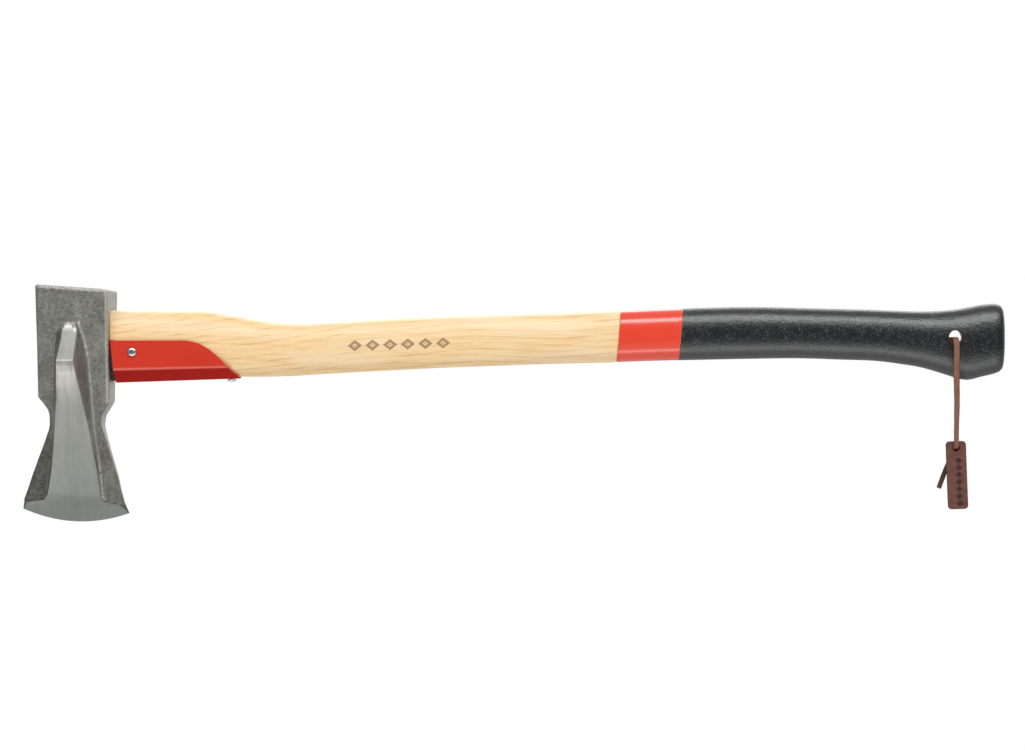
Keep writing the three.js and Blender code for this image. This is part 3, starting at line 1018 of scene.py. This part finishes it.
    def wear(self, kind: str, x: float, z_level: float) -> float:
        """How bright a point is worn: at the poll's rim, the wing's seams and the rear corners.

        Args:
            kind: The point's place in the section.
            x: Its distance along the handle.
            z_level: The level that it belongs to.

        Returns:
            A number from 0 to 1.
        """
        _, crest_rear, _, base_front, base_rear = self.row(self.wing, z_level)
        if kind == "corner" and z_level > -50:
            return 0.1 if x < 0 else 0.9
        if kind == "end" and x > 0:
            return 0.55
        if kind == "cheek" and 20 < z_level < 46:
            return 0.4 * math.exp(-(((x - 4.5) / 4.5) ** 2) - ((z_level - 23) / 9) ** 2)
        if kind in ("crest", "ground") and 12 < z_level < 22:
            return 0.18
        if kind == "crest" and z_level < 16:
            return 0.5 if x > 0 else 0.25
        worn = 0.75 if z_level > self.poll - self.rim - 0.4 else 0.0
        if kind in ("seam", "wall", "cheek") and -132 < z_level < 21:
            worn = math.exp(-(((x - base_rear) / 1.25) ** 2))
            worn += 0.3 * math.exp(-(((x - base_front) / 0.7) ** 2))
        if kind == "wall" and crest_rear < x:
            worn = max(worn, 0.16)
        return worn

    def swell(self, kind: str, level: float, here: Vector) -> float:
        """How far the forging's lumps and the wing's burr lift a point.

        Args:
            kind: The point's place in the section.
            level: The level that it belongs to.
            here: The point in the frame, in millimetres.

        Returns:
            The lift in millimetres.
        """
        rough = kind in ("cheek", "wall", "seam", "corner") or level > 6
        if level >= self.poll - 2 or not rough:
            return 0.0
        x = here.x + GRIP_CENTRE.x
        lift = noise.noise(here * 0.11) * 0.16 + noise.noise(here * 0.33) * 0.07
        if level < 21:
            burr = math.exp(-(((x - self.row(self.wing, level)[4]) / 1.1) ** 2))
            lift += burr * (0.3 + abs(noise.noise(here * 0.5)) * 2.2)
        tip = math.exp(-(((x - 4.4) / 3.4) ** 2) - ((level - 17.5) / 3.6) ** 2)
        lift += tip * (1.1 + noise.noise(here * 0.5) * 0.9)
        return lift * min(max((level + 139) / 12, 0), 1)

    def build(self) -> None:
        """Builds and dresses the head."""
        rings, zones = [], []
        for z, inset in self.levels():
            ring, kinds = self.ring(z, inset)
            rings.append(ring)
            zones += [(kind, z, p.x) for kind, p in zip(kinds, ring)]
        piece = loft("head", rings)
        paint_zone(piece, lambda i, p: self.zone(zones[i][0], zones[i][2], zones[i][1]))
        for v in piece.data.vertices:
            kind, level, _ = zones[v.index]
            v.co.y += math.copysign(self.swell(kind, level, v.co * 1000) * 0.001, v.co.y)
        half_height, half_width, power = self.eye
        cutter = loft("eye", [oval(x, half_height, -half_height, half_width, power, 96) for x in (-40, 40)])
        carve(piece, cutter)
        dress(piece, HeadSteel().make(), Body.MAUL, ["maul_head"], 38)


# ------------------------------------------------------------------------------- the handle


@dataclass
class Handle:
    """The wooden handle with its wedges, its red band and its coated grip."""

    # distance, top, bottom, half width
    stations: tuple = (
        (31.1, 30.8, -30.5, 15.3),
        (60, 30.1, -29.6, 15.3),
        (89, 29.5, -28.6, 15.2),
        (115, 29.3, -27.7, 15),
        (124, 27.9, -27.4, 14.9),
        (141, 25.1, -26.8, 14.7),
        (159, 21.7, -26.8, 14.5),
        (185, 19.1, -26.1, 14.3),
        (228, 20.8, -23.5, 14.2),
        (280, 23.4, -20.9, 14.2),
        (315, 25.1, -19.1, 14.2),
        (367, 26.9, -17.2, 14.2),
        (402, 27.8, -15.9, 14.2),
        (454, 29.5, -14.6, 14.3),
        (497, 31.2, -13.1, 14.6),
        (541, 33, -12.1, 14.9),
        (585, 33.8, -11.2, 15.1),
        (628, 33, -10.8, 15.2),
        (662, 32.1, -11.9, 15.2),
        (697, 31.1, -13.4, 15.1),
        (714, 30.4, -15.6, 15.1),
        (732, 29.9, -18.6, 15.4),
        (749, 30.4, -23.4, 16.2),
        (758, 31.2, -26.3, 16.6),
        (766, 32.2, -28.7, 16.9),
        (772, 33.4, -29.5, 17.1),
        (784, 35.6, -26.9, 17.2),
        (792, 36.5, -25, 17),
        (797, 36.4, -23.6, 16.4),
        (800.5, 35.2, -21.9, 14.9),
        (802.4, 33, -19.8, 12.6),
    )
    power: float = 2.25
    count: int = 72
    step: float = 3.0
    coat: float = 0.8
    gap: float = 0.3
    band: Pair = (469.3, 522.7)
    band_lean: float = 0.078
    butt: float = 802.95
    hole: tuple[float, float, float] = (759.5, 7.7, 5.5)
    hole_flare: float = 0.045
    hole_lean: float = 0.12
    tongue_end: float = -30.3
    tongue: tuple[float, float, float] = (30.45, 12.95, 3.2)
    kerf: tuple[float, float, float] = (12.0, 3.3, 0.8)  # its root, half mouth and half root
    wedge: tuple[float, float, float, float] = (38.0, 27.0, 3.0, 0.7)
    ring_wedge: tuple[float, float, float] = (8.5, 6.9, 20.0)
    track: Track = field(init=False)

    def __post_init__(self) -> None:
        """Fits the outline through its stations."""
        self.track = Track([s[0] for s in self.stations], [s[1:] for s in self.stations])

    def section(self, x: float, out: float, lean: float = 0.0) -> Ring:
        """The handle's section at x, moved outwards by out."""
        top, bottom, half = self.track.at(x)
        return oval(x, top + out, bottom - out, half + out, self.power, self.count, lean)

    def hole_cutter(self) -> bpy.types.Object:
        """A cutter for the hanging hole."""
        x, z, radius = self.hole
        return drill(x, z, radius, 30, self.hole_flare, self.hole_lean)

    def tube(self, name: str, inner: float, outer: float, length: float) -> bpy.types.Object:
        """A round tube along X from the tongue's end.

        Args:
            name: The piece's name.
            inner: Its inside radius.
            outer: Its outside radius.
            length: Its length.

        Returns:
            The mesh object.
        """
        start = self.tongue_end + 0.2
        profile = [(inner, start), (outer, start), (outer, start + length), (inner, start + length)]
        rings = []
        for i in range(64):
            turn = 2 * math.pi * i / 64
            rings.append([Vector((x, r * math.cos(turn), r * math.sin(turn))) for r, x in profile])
        return loft(name, rings, wrapped=True)

    def ring_slot(self) -> bpy.types.Object:
        """A cutter for the groove of the steel ring, open at the tongue's end.

        Returns:
            The cutter.
        """
        outer, inner, length = self.ring_wedge
        slot = self.tube("groove", inner - self.gap, outer + self.gap, length + self.gap)
        mouth = place(self.tongue_end + 1, 0, 0).x
        for v in slot.data.vertices:
            if v.co.x < mouth:
                v.co.x -= 0.005
        return slot

    def slab(self, name: str, ends: Pair, halves: Pair, half: float) -> bpy.types.Object:
        """A wedge across the tongue, from its mouth to its tip.

        Args:
            name: The piece's name.
            ends: Where its thick end and its thin end are.
            halves: Half its thickness at each of them.
            half: Half its height.

        Returns:
            The mesh object.
        """
        rings = []
        start, end = ends
        mouth, tip = halves
        corners = ((1, -half), (1, half), (-1, half), (-1, -half))
        for x in spread(start, end, 6):
            y = mouth + (tip - mouth) * (x - start) / (end - start)
            rings.append([Vector((x, side * y, z)) for side, z in corners])
        return loft(name, rings)

    def build_wood(self) -> None:
        """The wood from the tongue to the knob, slotted for its wedges."""
        half_height, half_width, power = self.tongue
        ends = [(self.tongue_end, 0.8), (self.tongue_end + 0.8, 0)]
        rings = [
            oval(x, half_height - cut, cut - half_height, half_width - cut, power, self.count)
            for x, cut in ends + [(x, 0) for x in spread(self.tongue_end + 2, 30.9, self.step)]
        ]
        rings += [self.section(x, 0) for x in spread(31.1, 463, self.step)]
        start = self.band[0]
        under = -self.coat - self.gap
        rings.append(self.section(start - 2 * self.gap, 0, self.band_lean))
        rings.append(self.section(start - self.gap, under, self.band_lean))
        rings += [self.section(x, under) for x in spread(474, 800.5, self.step)]
        last = self.section(802.3, under - 0.4)
        rings.append([Vector((self.butt - self.coat - self.gap, p.y, p.z)) for p in last])
        piece = loft("handle_wood", rings)
        root, mouth, tip = self.kerf
        kerf = self.slab("kerf", (self.tongue_end - 1, root), (mouth, tip), 40)
        carve(piece, kerf, self.ring_slot(), self.hole_cutter())
        dress(piece, Wood(motif=True).make(), Body.MAUL, ["handle"], 40)

    def build_wedges(self) -> None:
        """The wooden wedge across the eye and the ring driven into it."""
        length, half, mouth, tip = self.wedge
        wedge = self.slab("cross_wedge", (self.tongue_end, self.tongue_end + length), (mouth, tip), half)
        carve(wedge, self.ring_slot())
        pale, late, pore = (0.6, 0.4, 0.2), (0.42, 0.25, 0.11), (0.3, 0.16, 0.07)
        finish = Wood("wedge_wood", pale, late, pore, ring=0.0018, lean=0.0)
        dress(wedge, finish.make(), Body.MAUL, ["wooden_wedge"])
        outer, inner, depth = self.ring_wedge
        ring = self.tube("steel_ring", inner, outer, depth)
        bevel(ring, 0.3, 2)
        steel = BareMetal("ring_steel", (0.42, 0.42, 0.41), (0.28, 0.28, 0.27), 0.3)
        dress(ring, steel.make(), Body.MAUL, ["ring_wedge"])

    def sleeve(self, name: str, start: float, end: float, lean_end: bool) -> bpy.types.Object:
        """A thin coat on the wood, with a rounded rim at each open end.

        Args:
            name: The piece's name.
            start: Where it starts.
            end: Where it ends.
            lean_end: True for a slanted open end, False for a closed butt.

        Returns:
            The mesh object.
        """
        lean = self.band_lean
        inside = 0.04 - self.coat
        rim = [(0.5, inside), (0.12, -0.45), (0.0, -0.2), (0.15, -0.04), (0.5, 0.0)]
        rings = [self.section(start + dx, out, lean) for dx, out in rim]
        if lean_end:
            for x in spread(start + 3, end - 3, self.step):
                rings.append(self.section(x, 0, lean))
            rings += [self.section(end - dx, out, lean) for dx, out in reversed(rim)]
            rings += [self.section(x, inside, lean) for x in spread(end - 3, start + 3, self.step)]
            return loft(name, rings, wrapped=True)
        for x in spread(start + 3, start + 30, self.step):
            rings.append(self.section(x, 0, lean * (1 - (x - start) / 31)))
        for x in spread(start + 33, 790, self.step) + spread(791, 802.4, 0.9):
            rings.append(self.section(x, 0))
        edge = self.section(802.4, 0)
        middle = sum((p for p in edge), Vector()) / len(edge)
        front = [(0.96, 802.75), (0.9, self.butt)] + [(s, self.butt) for s in (0.6, 0.3, 0.1, 0.003)]
        lining = [(s, self.butt - self.coat + 0.05) for s in (0.003, 0.3, 0.7, 0.9)]
        for shrink, x in front + lining:
            ring = [middle.lerp(p, shrink) for p in edge]
            rings.append([Vector((x, p.y, p.z)) for p in ring])
        back = spread(800.5, 791, 0.9) + spread(790, start + 4, self.step)
        rings += [self.section(x, inside) for x in back]
        return loft(name, rings, wrapped=True)

    def build_coats(self) -> None:
        """The red band and the black grip."""
        start, end = self.band
        band = self.sleeve("band_paint", start, end, True)
        red = GlossPaint("band_red", (0.86, 0.068, 0.034), (0.8, 0.056, 0.028), 0.22, 0.55)
        dress(band, red.make(), Body.MAUL, ["red_band"], 50)
        grip = self.sleeve("grip_coat", end + self.gap, self.butt, False)
        carve(grip, self.hole_cutter())
        dress(grip, GripCoat().make(), Body.MAUL, ["grip_coating"], 50)

    def build(self) -> None:
        """Builds and dresses every part of the handle."""
        self.build_wood()
        self.build_wedges()
        self.build_coats()


# ------------------------------------------------------------------------------- the guard


@dataclass
class Guard:
    """The folded sheet-steel guard under the handle, and its three screws."""

    top: float = 4.5
    front: Pair = (31.4, 35.4)  # the front edge's distance at the top and the foot
    sheet: float = 1.2
    # distance, crease height, bottom height, half width of the sides, half width of the bottom
    sections: tuple = ((28, -21.1, -32.1, 16.9, 7.5), (146, -18.4, -28.15, 16.4, 7.0))
    curve: tuple = (
        ((94, 4.5), (108, 4.5), (117, -3), (126, -11)),
        ((126, -11), (132, -17), (137, -24.5), (141.8, -27.2)),
    )
    foot_end: float = 141.8
    screw_radius: float = 4.0
    screw_height: float = 2.2

    def rear_edge(self) -> tuple[list[float], list[float]]:
        """The curved rear edge.

        Returns:
            Falling heights and the distances at them.
        """
        heights, distances = [], []
        for a, b, c, d in self.curve:
            for t in np.linspace(0, 1, 40):
                weights = ((1 - t) ** 3, 3 * t * (1 - t) ** 2, 3 * t * t * (1 - t), t**3)
                distances.append(float(np.dot(weights, (a[0], b[0], c[0], d[0]))))
                heights.append(float(np.dot(weights, (a[1], b[1], c[1], d[1]))))
        return heights, distances

    def fold(self, x: float, kind: str, t: float) -> tuple[float, float]:
        """A point of the outer section at x, as half width and height.

        Args:
            x: Distance along the handle.
            kind: "side", "slant" or "foot".
            t: How far along that facet, from 0 to 1.

        Returns:
            Half width and height.
        """
        first, last = self.sections
        share = (x - first[0]) / (last[0] - first[0])
        crease, bottom, side, foot = (a + (b - a) * share for a, b in zip(first[1:], last[1:]))
        if kind == "side":
            return side, self.top + (crease - self.top) * t
        if kind == "slant":
            return side + (foot - side) * t, crease + (bottom - crease) * t
        return foot * (1 - t), bottom

    def build_sheet(self) -> None:
        """The folded sheet."""
        rows = [("side", t**1.6) for t in np.linspace(0, 1, 34)[:-1]]
        rows += [("slant", t) for t in np.linspace(0.07, 0.97, 14)]
        rows += [("foot", t) for t in np.linspace(0.07, 1, 6)[:-1]]
        path = [(kind, t, -1) for kind, t in rows] + [("foot", 1.0, 1)]
        path += [(kind, t, 1) for kind, t in reversed(rows)]
        heights, distances = self.rear_edge()
        columns = 60
        points = []
        for kind, t, side in path:
            for c in range(columns + 1):
                x = self.front[0] + (self.foot_end - self.front[0]) * c / columns
                for _ in range(6):
                    width, z = self.fold(x, kind, t)
                    start = float(np.interp(-z, (-self.top, 32), self.front))
                    end = float(np.interp(-z, [-h for h in heights], distances))
                    x = start + (end - start) * c / columns
                points.append(place(x, side * width, z))
        faces = []
        for row in range(len(path) - 1):
            for c in range(columns):
                a = row * (columns + 1) + c
                faces.append((a, a + 1, a + columns + 2, a + columns + 1))
        piece = mesh_object("guard_sheet", points, faces)
        probe = piece.data.polygons[0]
        if probe.normal.y > 0:
            piece.data.flip_normals()
        thick = piece.modifiers.new("sheet", "SOLIDIFY")
        thick.thickness = self.sheet * 0.001
        thick.offset = -1
        bpy.context.view_layer.update()
        settle(piece)
        bevel(piece, 0.4, 3, 25)
        colour, deep = (0.66, 0.046, 0.024), (0.56, 0.035, 0.018)
        # under=1.0: painted shade on the guard's downward faces and a painted highlight at its fold
        red = GlossPaint("guard_red", colour, deep, 0.42, coat=0.0, peel=420, specular=0.12, under=1.0)
        dress(piece, red.make(), Body.MAUL, ["handle_guard"], 40)

    def screw(self, name: str, node: str, axis: Vector, turn: float, finish: bpy.types.Material) -> None:
        """A pan-head screw with a cross recess, standing where its CAD node stands.

        Args:
            name: The piece's name.
            node: The CAD node.
            axis: The way its head points.
            turn: How far the recess is turned.
            finish: Its material.
        """
        low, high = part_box(node)
        middle = (low + high) / 2
        reach = Vector(abs(a) for a in axis).dot(high - low) / 2
        crown = middle + axis * reach
        r, h = self.screw_radius, self.screw_height
        profile = [(0.01, h), (0.35 * r, h), (0.6 * r, 0.93 * h), (0.82 * r, 0.74 * h), (0.95 * r, 0.46 * h)]
        profile += [(r, 0.2 * h), (r, 0.06 * h), (0.96 * r, 0), (1.6, 0), (1.6, -10), (0.01, -14)]
        spin = [2 * math.pi * i / 48 for i in range(48)]
        across = axis.orthogonal().normalized()
        other = axis.cross(across)
        points = []
        for radius, up in profile:
            for a in spin:
                offset = across * (radius * math.cos(a)) + other * (radius * math.sin(a)) + axis * (up - h)
                points.append(crown + offset * 0.001)
        faces = []
        for row in range(len(profile) - 1):
            for i in range(48):
                j = (i + 1) % 48
                faces.append((row * 48 + i, row * 48 + j, row * 48 + 48 + j, row * 48 + 48 + i))
        faces += [tuple(range(48)), tuple(range(len(points) - 48, len(points)))]
        piece = mesh_object(name, points, faces)
        for quarter in range(2):
            a = turn + quarter * math.pi / 2
            along = across * math.cos(a) + other * math.sin(a)
            wide = axis.cross(along)
            corners = []
            for s, t, u in [(s, t, u) for u in (-1, 1) for s, t in ((-1, -1), (1, -1), (1, 1), (-1, 1))]:
                taper = 0.7 if u < 0 else 1.0
                offset = along * (2.4 * s * taper) + wide * (0.55 * t) + axis * (1.3 * u)
                corners.append(crown + offset * 0.001)
            sides = [(3, 2, 1, 0), (4, 5, 6, 7)]
            sides += [(i, (i + 1) % 4, (i + 1) % 4 + 4, i + 4) for i in range(4)]
            carve(piece, mesh_object("recess", corners, sides))
        dress(piece, finish, Body.MAUL, [node], 28)

    def build(self) -> None:
        """Builds the sheet and its screws."""
        self.build_sheet()
        zinc = BareMetal("zinc", (0.78, 0.8, 0.82), (0.5, 0.55, 0.62), 0.24).make()
        self.screw("side_screw_near", "guard_screw_near", Vector((0, -1, 0)), 0.5, zinc)
        self.screw("side_screw_far", "guard_screw_far", Vector((0, 1, 0)), 1.1, zinc)
        self.screw("tip_screw", "guard_screw_tip", Vector((0, 0, -1)), 0.2, zinc)


# ------------------------------------------------------------------------------- lace and tag


@dataclass
class Lanyard:
    """The flat leather lace through the knob, its knot and the tag on it."""

    width: float = 5.0
    thickness: float = 2.0
    front: tuple = (
        (759.5, -0.15, 6.6), (759.5, -6, 6.6), (759.5, -12, 6.6), (759.5, -16.5, 6.1),
        (759.5, -20, 4), (759.5, -21.7, -0.4), (759.5, -21.6, -6), (759.5, -21, -14),
        (759.6, -20.4, -24), (759.8, -20.1, -34), (760.1, -19.4, -42), (760.5, -17.4, -50),
        (760.9, -14.2, -58), (761.4, -10.6, -67), (761.9, -7, -76), (762.4, -4.6, -82.5),
        (762.6, -3.1, -86), (762.7, -1.2, -87.9), (762.7, 0.6, -88.2), (762.7, 2.2, -88.3),
        (762.9, 4.8, -88.9), (762.4, 6.8, -91.2), (761.4, 7.1, -93.8), (760.4, 7, -96.2),
        (757.8, 6.6, -101), (754.7, 6, -108), (751.6, 5.6, -116), (748.8, 5.4, -123.6),
    )
    rear: tuple = (
        (759.5, 0.15, 6.6), (759.9, 6, 6.6), (760.7, 12, 6.6), (761.5, 16.5, 6.1),
        (762.3, 20, 4), (763.3, 21.7, -0.4), (764.3, 21.6, -6), (765.5, 21, -14),
        (766.6, 20.4, -24), (767.2, 20.1, -34), (767.2, 19.6, -42), (767, 18.1, -50),
        (766.4, 15.6, -58), (765.7, 12.8, -67), (765.1, 10.3, -75), (764.7, 8.5, -81),
        (764.6, 8.1, -82.9), (764.6, 7.8, -86.5), (765, 7.5, -90), (765.7, 7.2, -93.4),
        (766.2, 7, -96.3), (766.4, 6.8, -102), (766.6, 6.2, -110), (766.6, 5.6, -118),
    )
    front_length: float = 0.159
    rear_length: float = 0.148
    knot: tuple[float, float, float] = (763.6, 7.0, -90.0)
    tag_width: float = 17.5
    tag_length: float = 59.0
    tag_thickness: float = 2.3
    tag_corner: float = 3.2
    tag_hole: tuple[float, float, float] = (762.7, -88.0, 3.45)
    tag_top: float = 5.4
    tag_lean: float = 0.036

    def strip(self, name: str, path: Ring, size: Pair, ring: bool = False) -> bpy.types.Object:
        """A flat strip along a path, its width across X where it can be.

        Args:
            name: The piece's name.
            path: Its centreline in millimetres.
            size: Its width and thickness.
            ring: Whether the path closes on itself.

        Returns:
            The mesh object, with its cut edges marked.
        """
        width, thick = size
        outline = []
        for sx, sz in ((1, 1), (-1, 1), (-1, -1), (1, -1)):
            for k in range(3):
                a = math.atan2(sz, sx) + (k - 1) * math.pi / 6
                side = sx * (width / 2 - 0.5) + 0.55 * math.cos(a)
                outline.append((side, sz * (thick / 2 - 0.5) + 0.5 * math.sin(a)))
            if sx == sz:
                outline += [(sx * width * f, sz * thick / 2) for f in (0.25, 0.0, -0.25)]
        rings = []
        across = Vector((1, 0, 0))
        for i, p in enumerate(path):
            before = path[i - 1] if i or ring else p
            after = path[(i + 1) % len(path)] if i + 1 < len(path) or ring else p
            along = (after - before).normalized()
            if ring:
                across = (across - along * across.dot(along)).normalized()
            else:
                across = (Vector((1, 0, 0)) - along * along.x).normalized()
            up = along.cross(across)
            ripple = 1 + 0.05 * noise.noise(p * 0.12) + 0.03 * noise.noise(p * 0.5)
            if not ring:
                ripple *= 1 - 0.2 * min(max((-p.z - 25) / 55, 0), 1)
            rings.append([p + across * (a * ripple) + up * b for a, b in outline])
        piece = loft(name, rings, wrapped=ring)
        count = len(outline)
        rim = width / 2 - 0.35
        # the third zone number is 1 on the lace more than 94 mm below the eye, where it is drawn darker
        paint_zone(piece, lambda i, p: (float(abs(outline[i % count][0]) > rim), 0.0, float(p.z < -94)))
        return piece

    def build_laces(self) -> None:
        """Both strands with their tails, and the knot that joins them."""
        leather = Leather("lace_leather", (0.265, 0.114, 0.067), (0.125, 0.052, 0.031)).make()
        knot_x, knot_y, knot_z = self.knot
        loop = []
        for i in range(120):
            t = 2 * math.pi * i / 120
            x = math.sin(t) + 2 * math.sin(2 * t)
            z = math.cos(t) - 2 * math.cos(2 * t)
            loop.append(Vector((knot_x + 1.55 * x, knot_y - 1.9 * math.sin(3 * t), knot_z + 1.35 * z)))
        knot = self.strip("knot", loop, (3.4, 1.7), True)
        dress(knot, leather, Body.LANYARD, ["lace_knot"], 60)
        jobs = (
            ("lace_strand_front", self.front, self.front_length, ["lace_front", "lace_tail_long"]),
            ("lace_strand_rear", self.rear, self.rear_length, ["lace_rear", "lace_tail_short"]),
        )
        for name, route, length, nodes in jobs:
            path = route_points(route, 0.9)
            piece = self.strip(name, path, (self.width, self.thickness))
            dress(piece, leather, Body.LANYARD, nodes, 60)

    def tag_outline(self, count: int) -> list[tuple[float, float]]:
        """The tag's rounded outline round its hole, as points spaced by angle from the hole.

        Args:
            count: How many points.

        Returns:
            Distances and heights from the hole's centre.
        """
        half, r = self.tag_width / 2, self.tag_corner
        high, low = self.tag_top, self.tag_top - self.tag_length
        corners = []
        for cx, cz, start in (
            (half - r, high - r, 0),
            (r - half, high - r, math.pi / 2),
            (r - half, low + r, math.pi),
            (half - r, low + r, 1.5 * math.pi),
        ):
            for k in range(9):
                a = start + math.pi / 2 * k / 8
                corners.append((cx + r * math.cos(a), cz + r * math.sin(a)))
        corners.append(corners[0])
        legs = np.concatenate([[0], np.cumsum([math.dist(a, b) for a, b in zip(corners, corners[1:])])])
        spots = np.linspace(0, legs[-1], count, endpoint=False)
        xs = np.interp(spots, legs, [c[0] for c in corners])
        zs = np.interp(spots, legs, [c[1] for c in corners])
        return list(zip(xs, zs))

    def pressed(self, x: float, z: float) -> float:
        """How deep a generic row of lozenges is pressed into the tag.

        Args:
            x: Place across the tag from its hole.
            z: Height above the hole.

        Returns:
            1 in a lozenge, 0 elsewhere.
        """
        for k in range(7):
            if abs(x - 1.6) / 3.1 + abs(z + 11.5 + 6.2 * k) / 2.9 < 1:
                return 1.0
        return 0.0

    def build_tag(self) -> None:
        """The leather tag."""
        count, loops = 168, 56
        outer = self.tag_outline(count)
        hole_x, hole_z, hole_r = self.tag_hole
        inner = []
        for x, z in outer:
            a = math.atan2(z, x)
            inner.append((hole_r * math.cos(a), hole_r * math.sin(a)))
        half = self.tag_thickness / 2
        cos, sin = math.cos(self.tag_lean), math.sin(self.tag_lean)

        def level(share: float, y: float, out: float) -> Ring:
            """A loop round the hole.

            Args:
                share: 0 on the hole's rim, 1 on the tag's outline.
                y: Its depth.
                out: How far it is moved outwards.

            Returns:
                The loop.
            """
            ring = []
            for (ax, az), (bx, bz) in zip(inner, outer):
                x, z = ax + (bx - ax) * share, az + (bz - az) * share
                reach = math.hypot(x, z)
                x, z = x * (1 + out / reach), z * (1 + out / reach)
                bow = 0.5 * (min(z + 20, 0) / 38) ** 2
                ring.append(Vector((hole_x + x * cos - z * sin, y - bow, hole_z + z * cos + x * sin)))
            return ring

        shares = list(np.linspace(0, 1, loops))
        rings = [level(s, -half, -0.35 if s == 1 else 0) for s in shares]
        rings += [level(1, y, o) for y, o in ((-half + 0.3, -0.05), (0, 0), (half - 0.3, -0.05))]
        rings += [level(s, half, -0.35 if s == 1 else 0) for s in reversed(shares)]
        piece = loft("tag", rings, wrapped=True)
        cut = range(loops, loops + 3)

        def rule(i: int, p: Vector) -> Colour:
            """Marks the cut edge and the pressed mark.

            Args:
                i: The vertex's number.
                p: Its place in millimetres.

            Returns:
                How much it is edge, pressed and darkened.
            """
            dx, dz = p.x - hole_x, p.z - hole_z
            x, z = dx * cos + dz * sin, dz * cos - dx * sin
            margin = min(self.tag_width / 2 - abs(x), self.tag_top - z, z - self.tag_top + self.tag_length)
            edge = 1.0 if i // count in cut else (0.5 if margin < 0.7 else 0.0)
            return edge, self.pressed(x, z) if p.y < 0 else 0.0, 0.0

        paint_zone(piece, rule)
        finish = Leather("tag_leather", (0.165, 0.058, 0.038), (0.07, 0.026, 0.018), True)
        dress(piece, finish.make(), Body.TAG, ["leather_tag"], 50)

    def build(self) -> None:
        """Builds the tag, the strands and the knot."""
        self.build_tag()
        self.build_laces()


# ------------------------------------------------------------------------------- studio


@dataclass
class Studio:
    """Camera, soft lights, white surroundings and a pale floor."""

    camera_at: tuple[float, float, float] = (-0.284, -2.1, -0.0352)
    lens: float = 85.0
    middle: Vector = field(default_factory=lambda: Vector((-0.28, 0, 0)))
    floor_height: float = -1.5
    floor_radius: float = 5.5

    def build_camera(self) -> None:
        """A level camera that looks along +Y."""
        data = bpy.data.cameras.new("camera")
        data.lens = self.lens
        data.sensor_width = 36
        camera = bpy.data.objects.new("camera", data)
        camera.location = self.camera_at
        camera.rotation_euler = (math.pi / 2, 0, 0)
        bpy.context.scene.collection.objects.link(camera)
        bpy.context.scene.camera = camera

    def softbox(self, name: str, at: Vector, size: Pair, power: float) -> None:
        """A rectangular soft light that faces the maul's middle.

        Args:
            name: Its name.
            at: Where it stands.
            size: Width and height.
            power: Its power in watts.
        """
        data = bpy.data.lights.new(name, "AREA")
        data.shape = "RECTANGLE"
        data.size, data.size_y = size
        data.energy = power
        lamp = bpy.data.objects.new(name, data)
        lamp.visible_camera = False
        lamp.location = at
        lamp.rotation_euler = (self.middle - at).to_track_quat("-Z", "Y").to_euler()
        bpy.context.scene.collection.objects.link(lamp)

    def build_lights(self) -> None:
        """Long soft boxes above and below the front, and one behind."""
        self.softbox("high_strip", self.middle + Vector((0, -1.11, 1.15)), (2.8, 0.42), 27)
        self.softbox("low_strip", self.middle + Vector((0, -0.80, -0.84)), (2.6, 0.24), 5.5)
        self.softbox("back_strip", self.middle + Vector((0, 1.25, 1.05)), (2.6, 0.5), 12)

    def build_world(self) -> None:
        """Even white for the camera, softer and darker in front for reflections."""
        world = bpy.data.worlds.new("world")
        bpy.context.scene.world = world
        world.use_nodes = True
        sky = Graph(world.node_tree)
        _, y, z = sky.parts(sky.node("ShaderNodeTexCoord", {}, {}, "Generated"))
        strength = y.ramp(-0.2, 0.8) * 0.9 + z.ramp(0.2, 1.0) * 0.42 + 0.13
        around = sky.node("ShaderNodeBackground", {}, {"Strength": strength})
        seen = sky.node("ShaderNodeBackground", {}, {"Color": (1, 1, 1)})
        by_camera = sky.node("ShaderNodeLightPath", {}, {}, "Is Camera Ray")
        mix = sky.node("ShaderNodeMixShader", {}, {0: by_camera, 1: around, 2: seen})
        sky.node("ShaderNodeOutputWorld", {}, {"Surface": mix})

    def build_floor(self) -> None:
        """A plain pale disc well below the maul."""
        rim = [2 * math.pi * i / 96 for i in range(96)]
        r, z = self.floor_radius, self.floor_height
        points = [Vector((r * math.cos(a) - 0.25, r * math.sin(a), z)) for a in rim]
        mesh = bpy.data.meshes.new("floor")
        mesh.from_pydata([tuple(p) for p in points], [], [tuple(range(96))])
        floor = bpy.data.objects.new("floor", mesh)
        bpy.context.scene.collection.objects.link(floor)
        paint = Paint("floor_paint")
        cloud = paint.noise(paint.spot(), 3, 2)
        colour = paint.mixed((0.86, 0.86, 0.85), (0.83, 0.83, 0.83), cloud)
        mesh.materials.append(paint.done(Base_Color=colour, Roughness=0.8))

    def build(self) -> None:
        """Builds the studio."""
        self.build_camera()
        self.build_lights()
        self.build_world()
        self.build_floor()
        bpy.context.scene.view_settings.view_transform = "Standard"


def main() -> None:
    """Builds the studio and every sub-assembly."""
    logging.basicConfig(level=logging.INFO, format="%(name)s: %(message)s")
    for assembly in (Studio(), Lanyard(), MaulHead(), Handle(), Guard()):
        assembly.build()
        log.info("built %s", type(assembly).__name__)


if __name__ == "__main__":
    main()
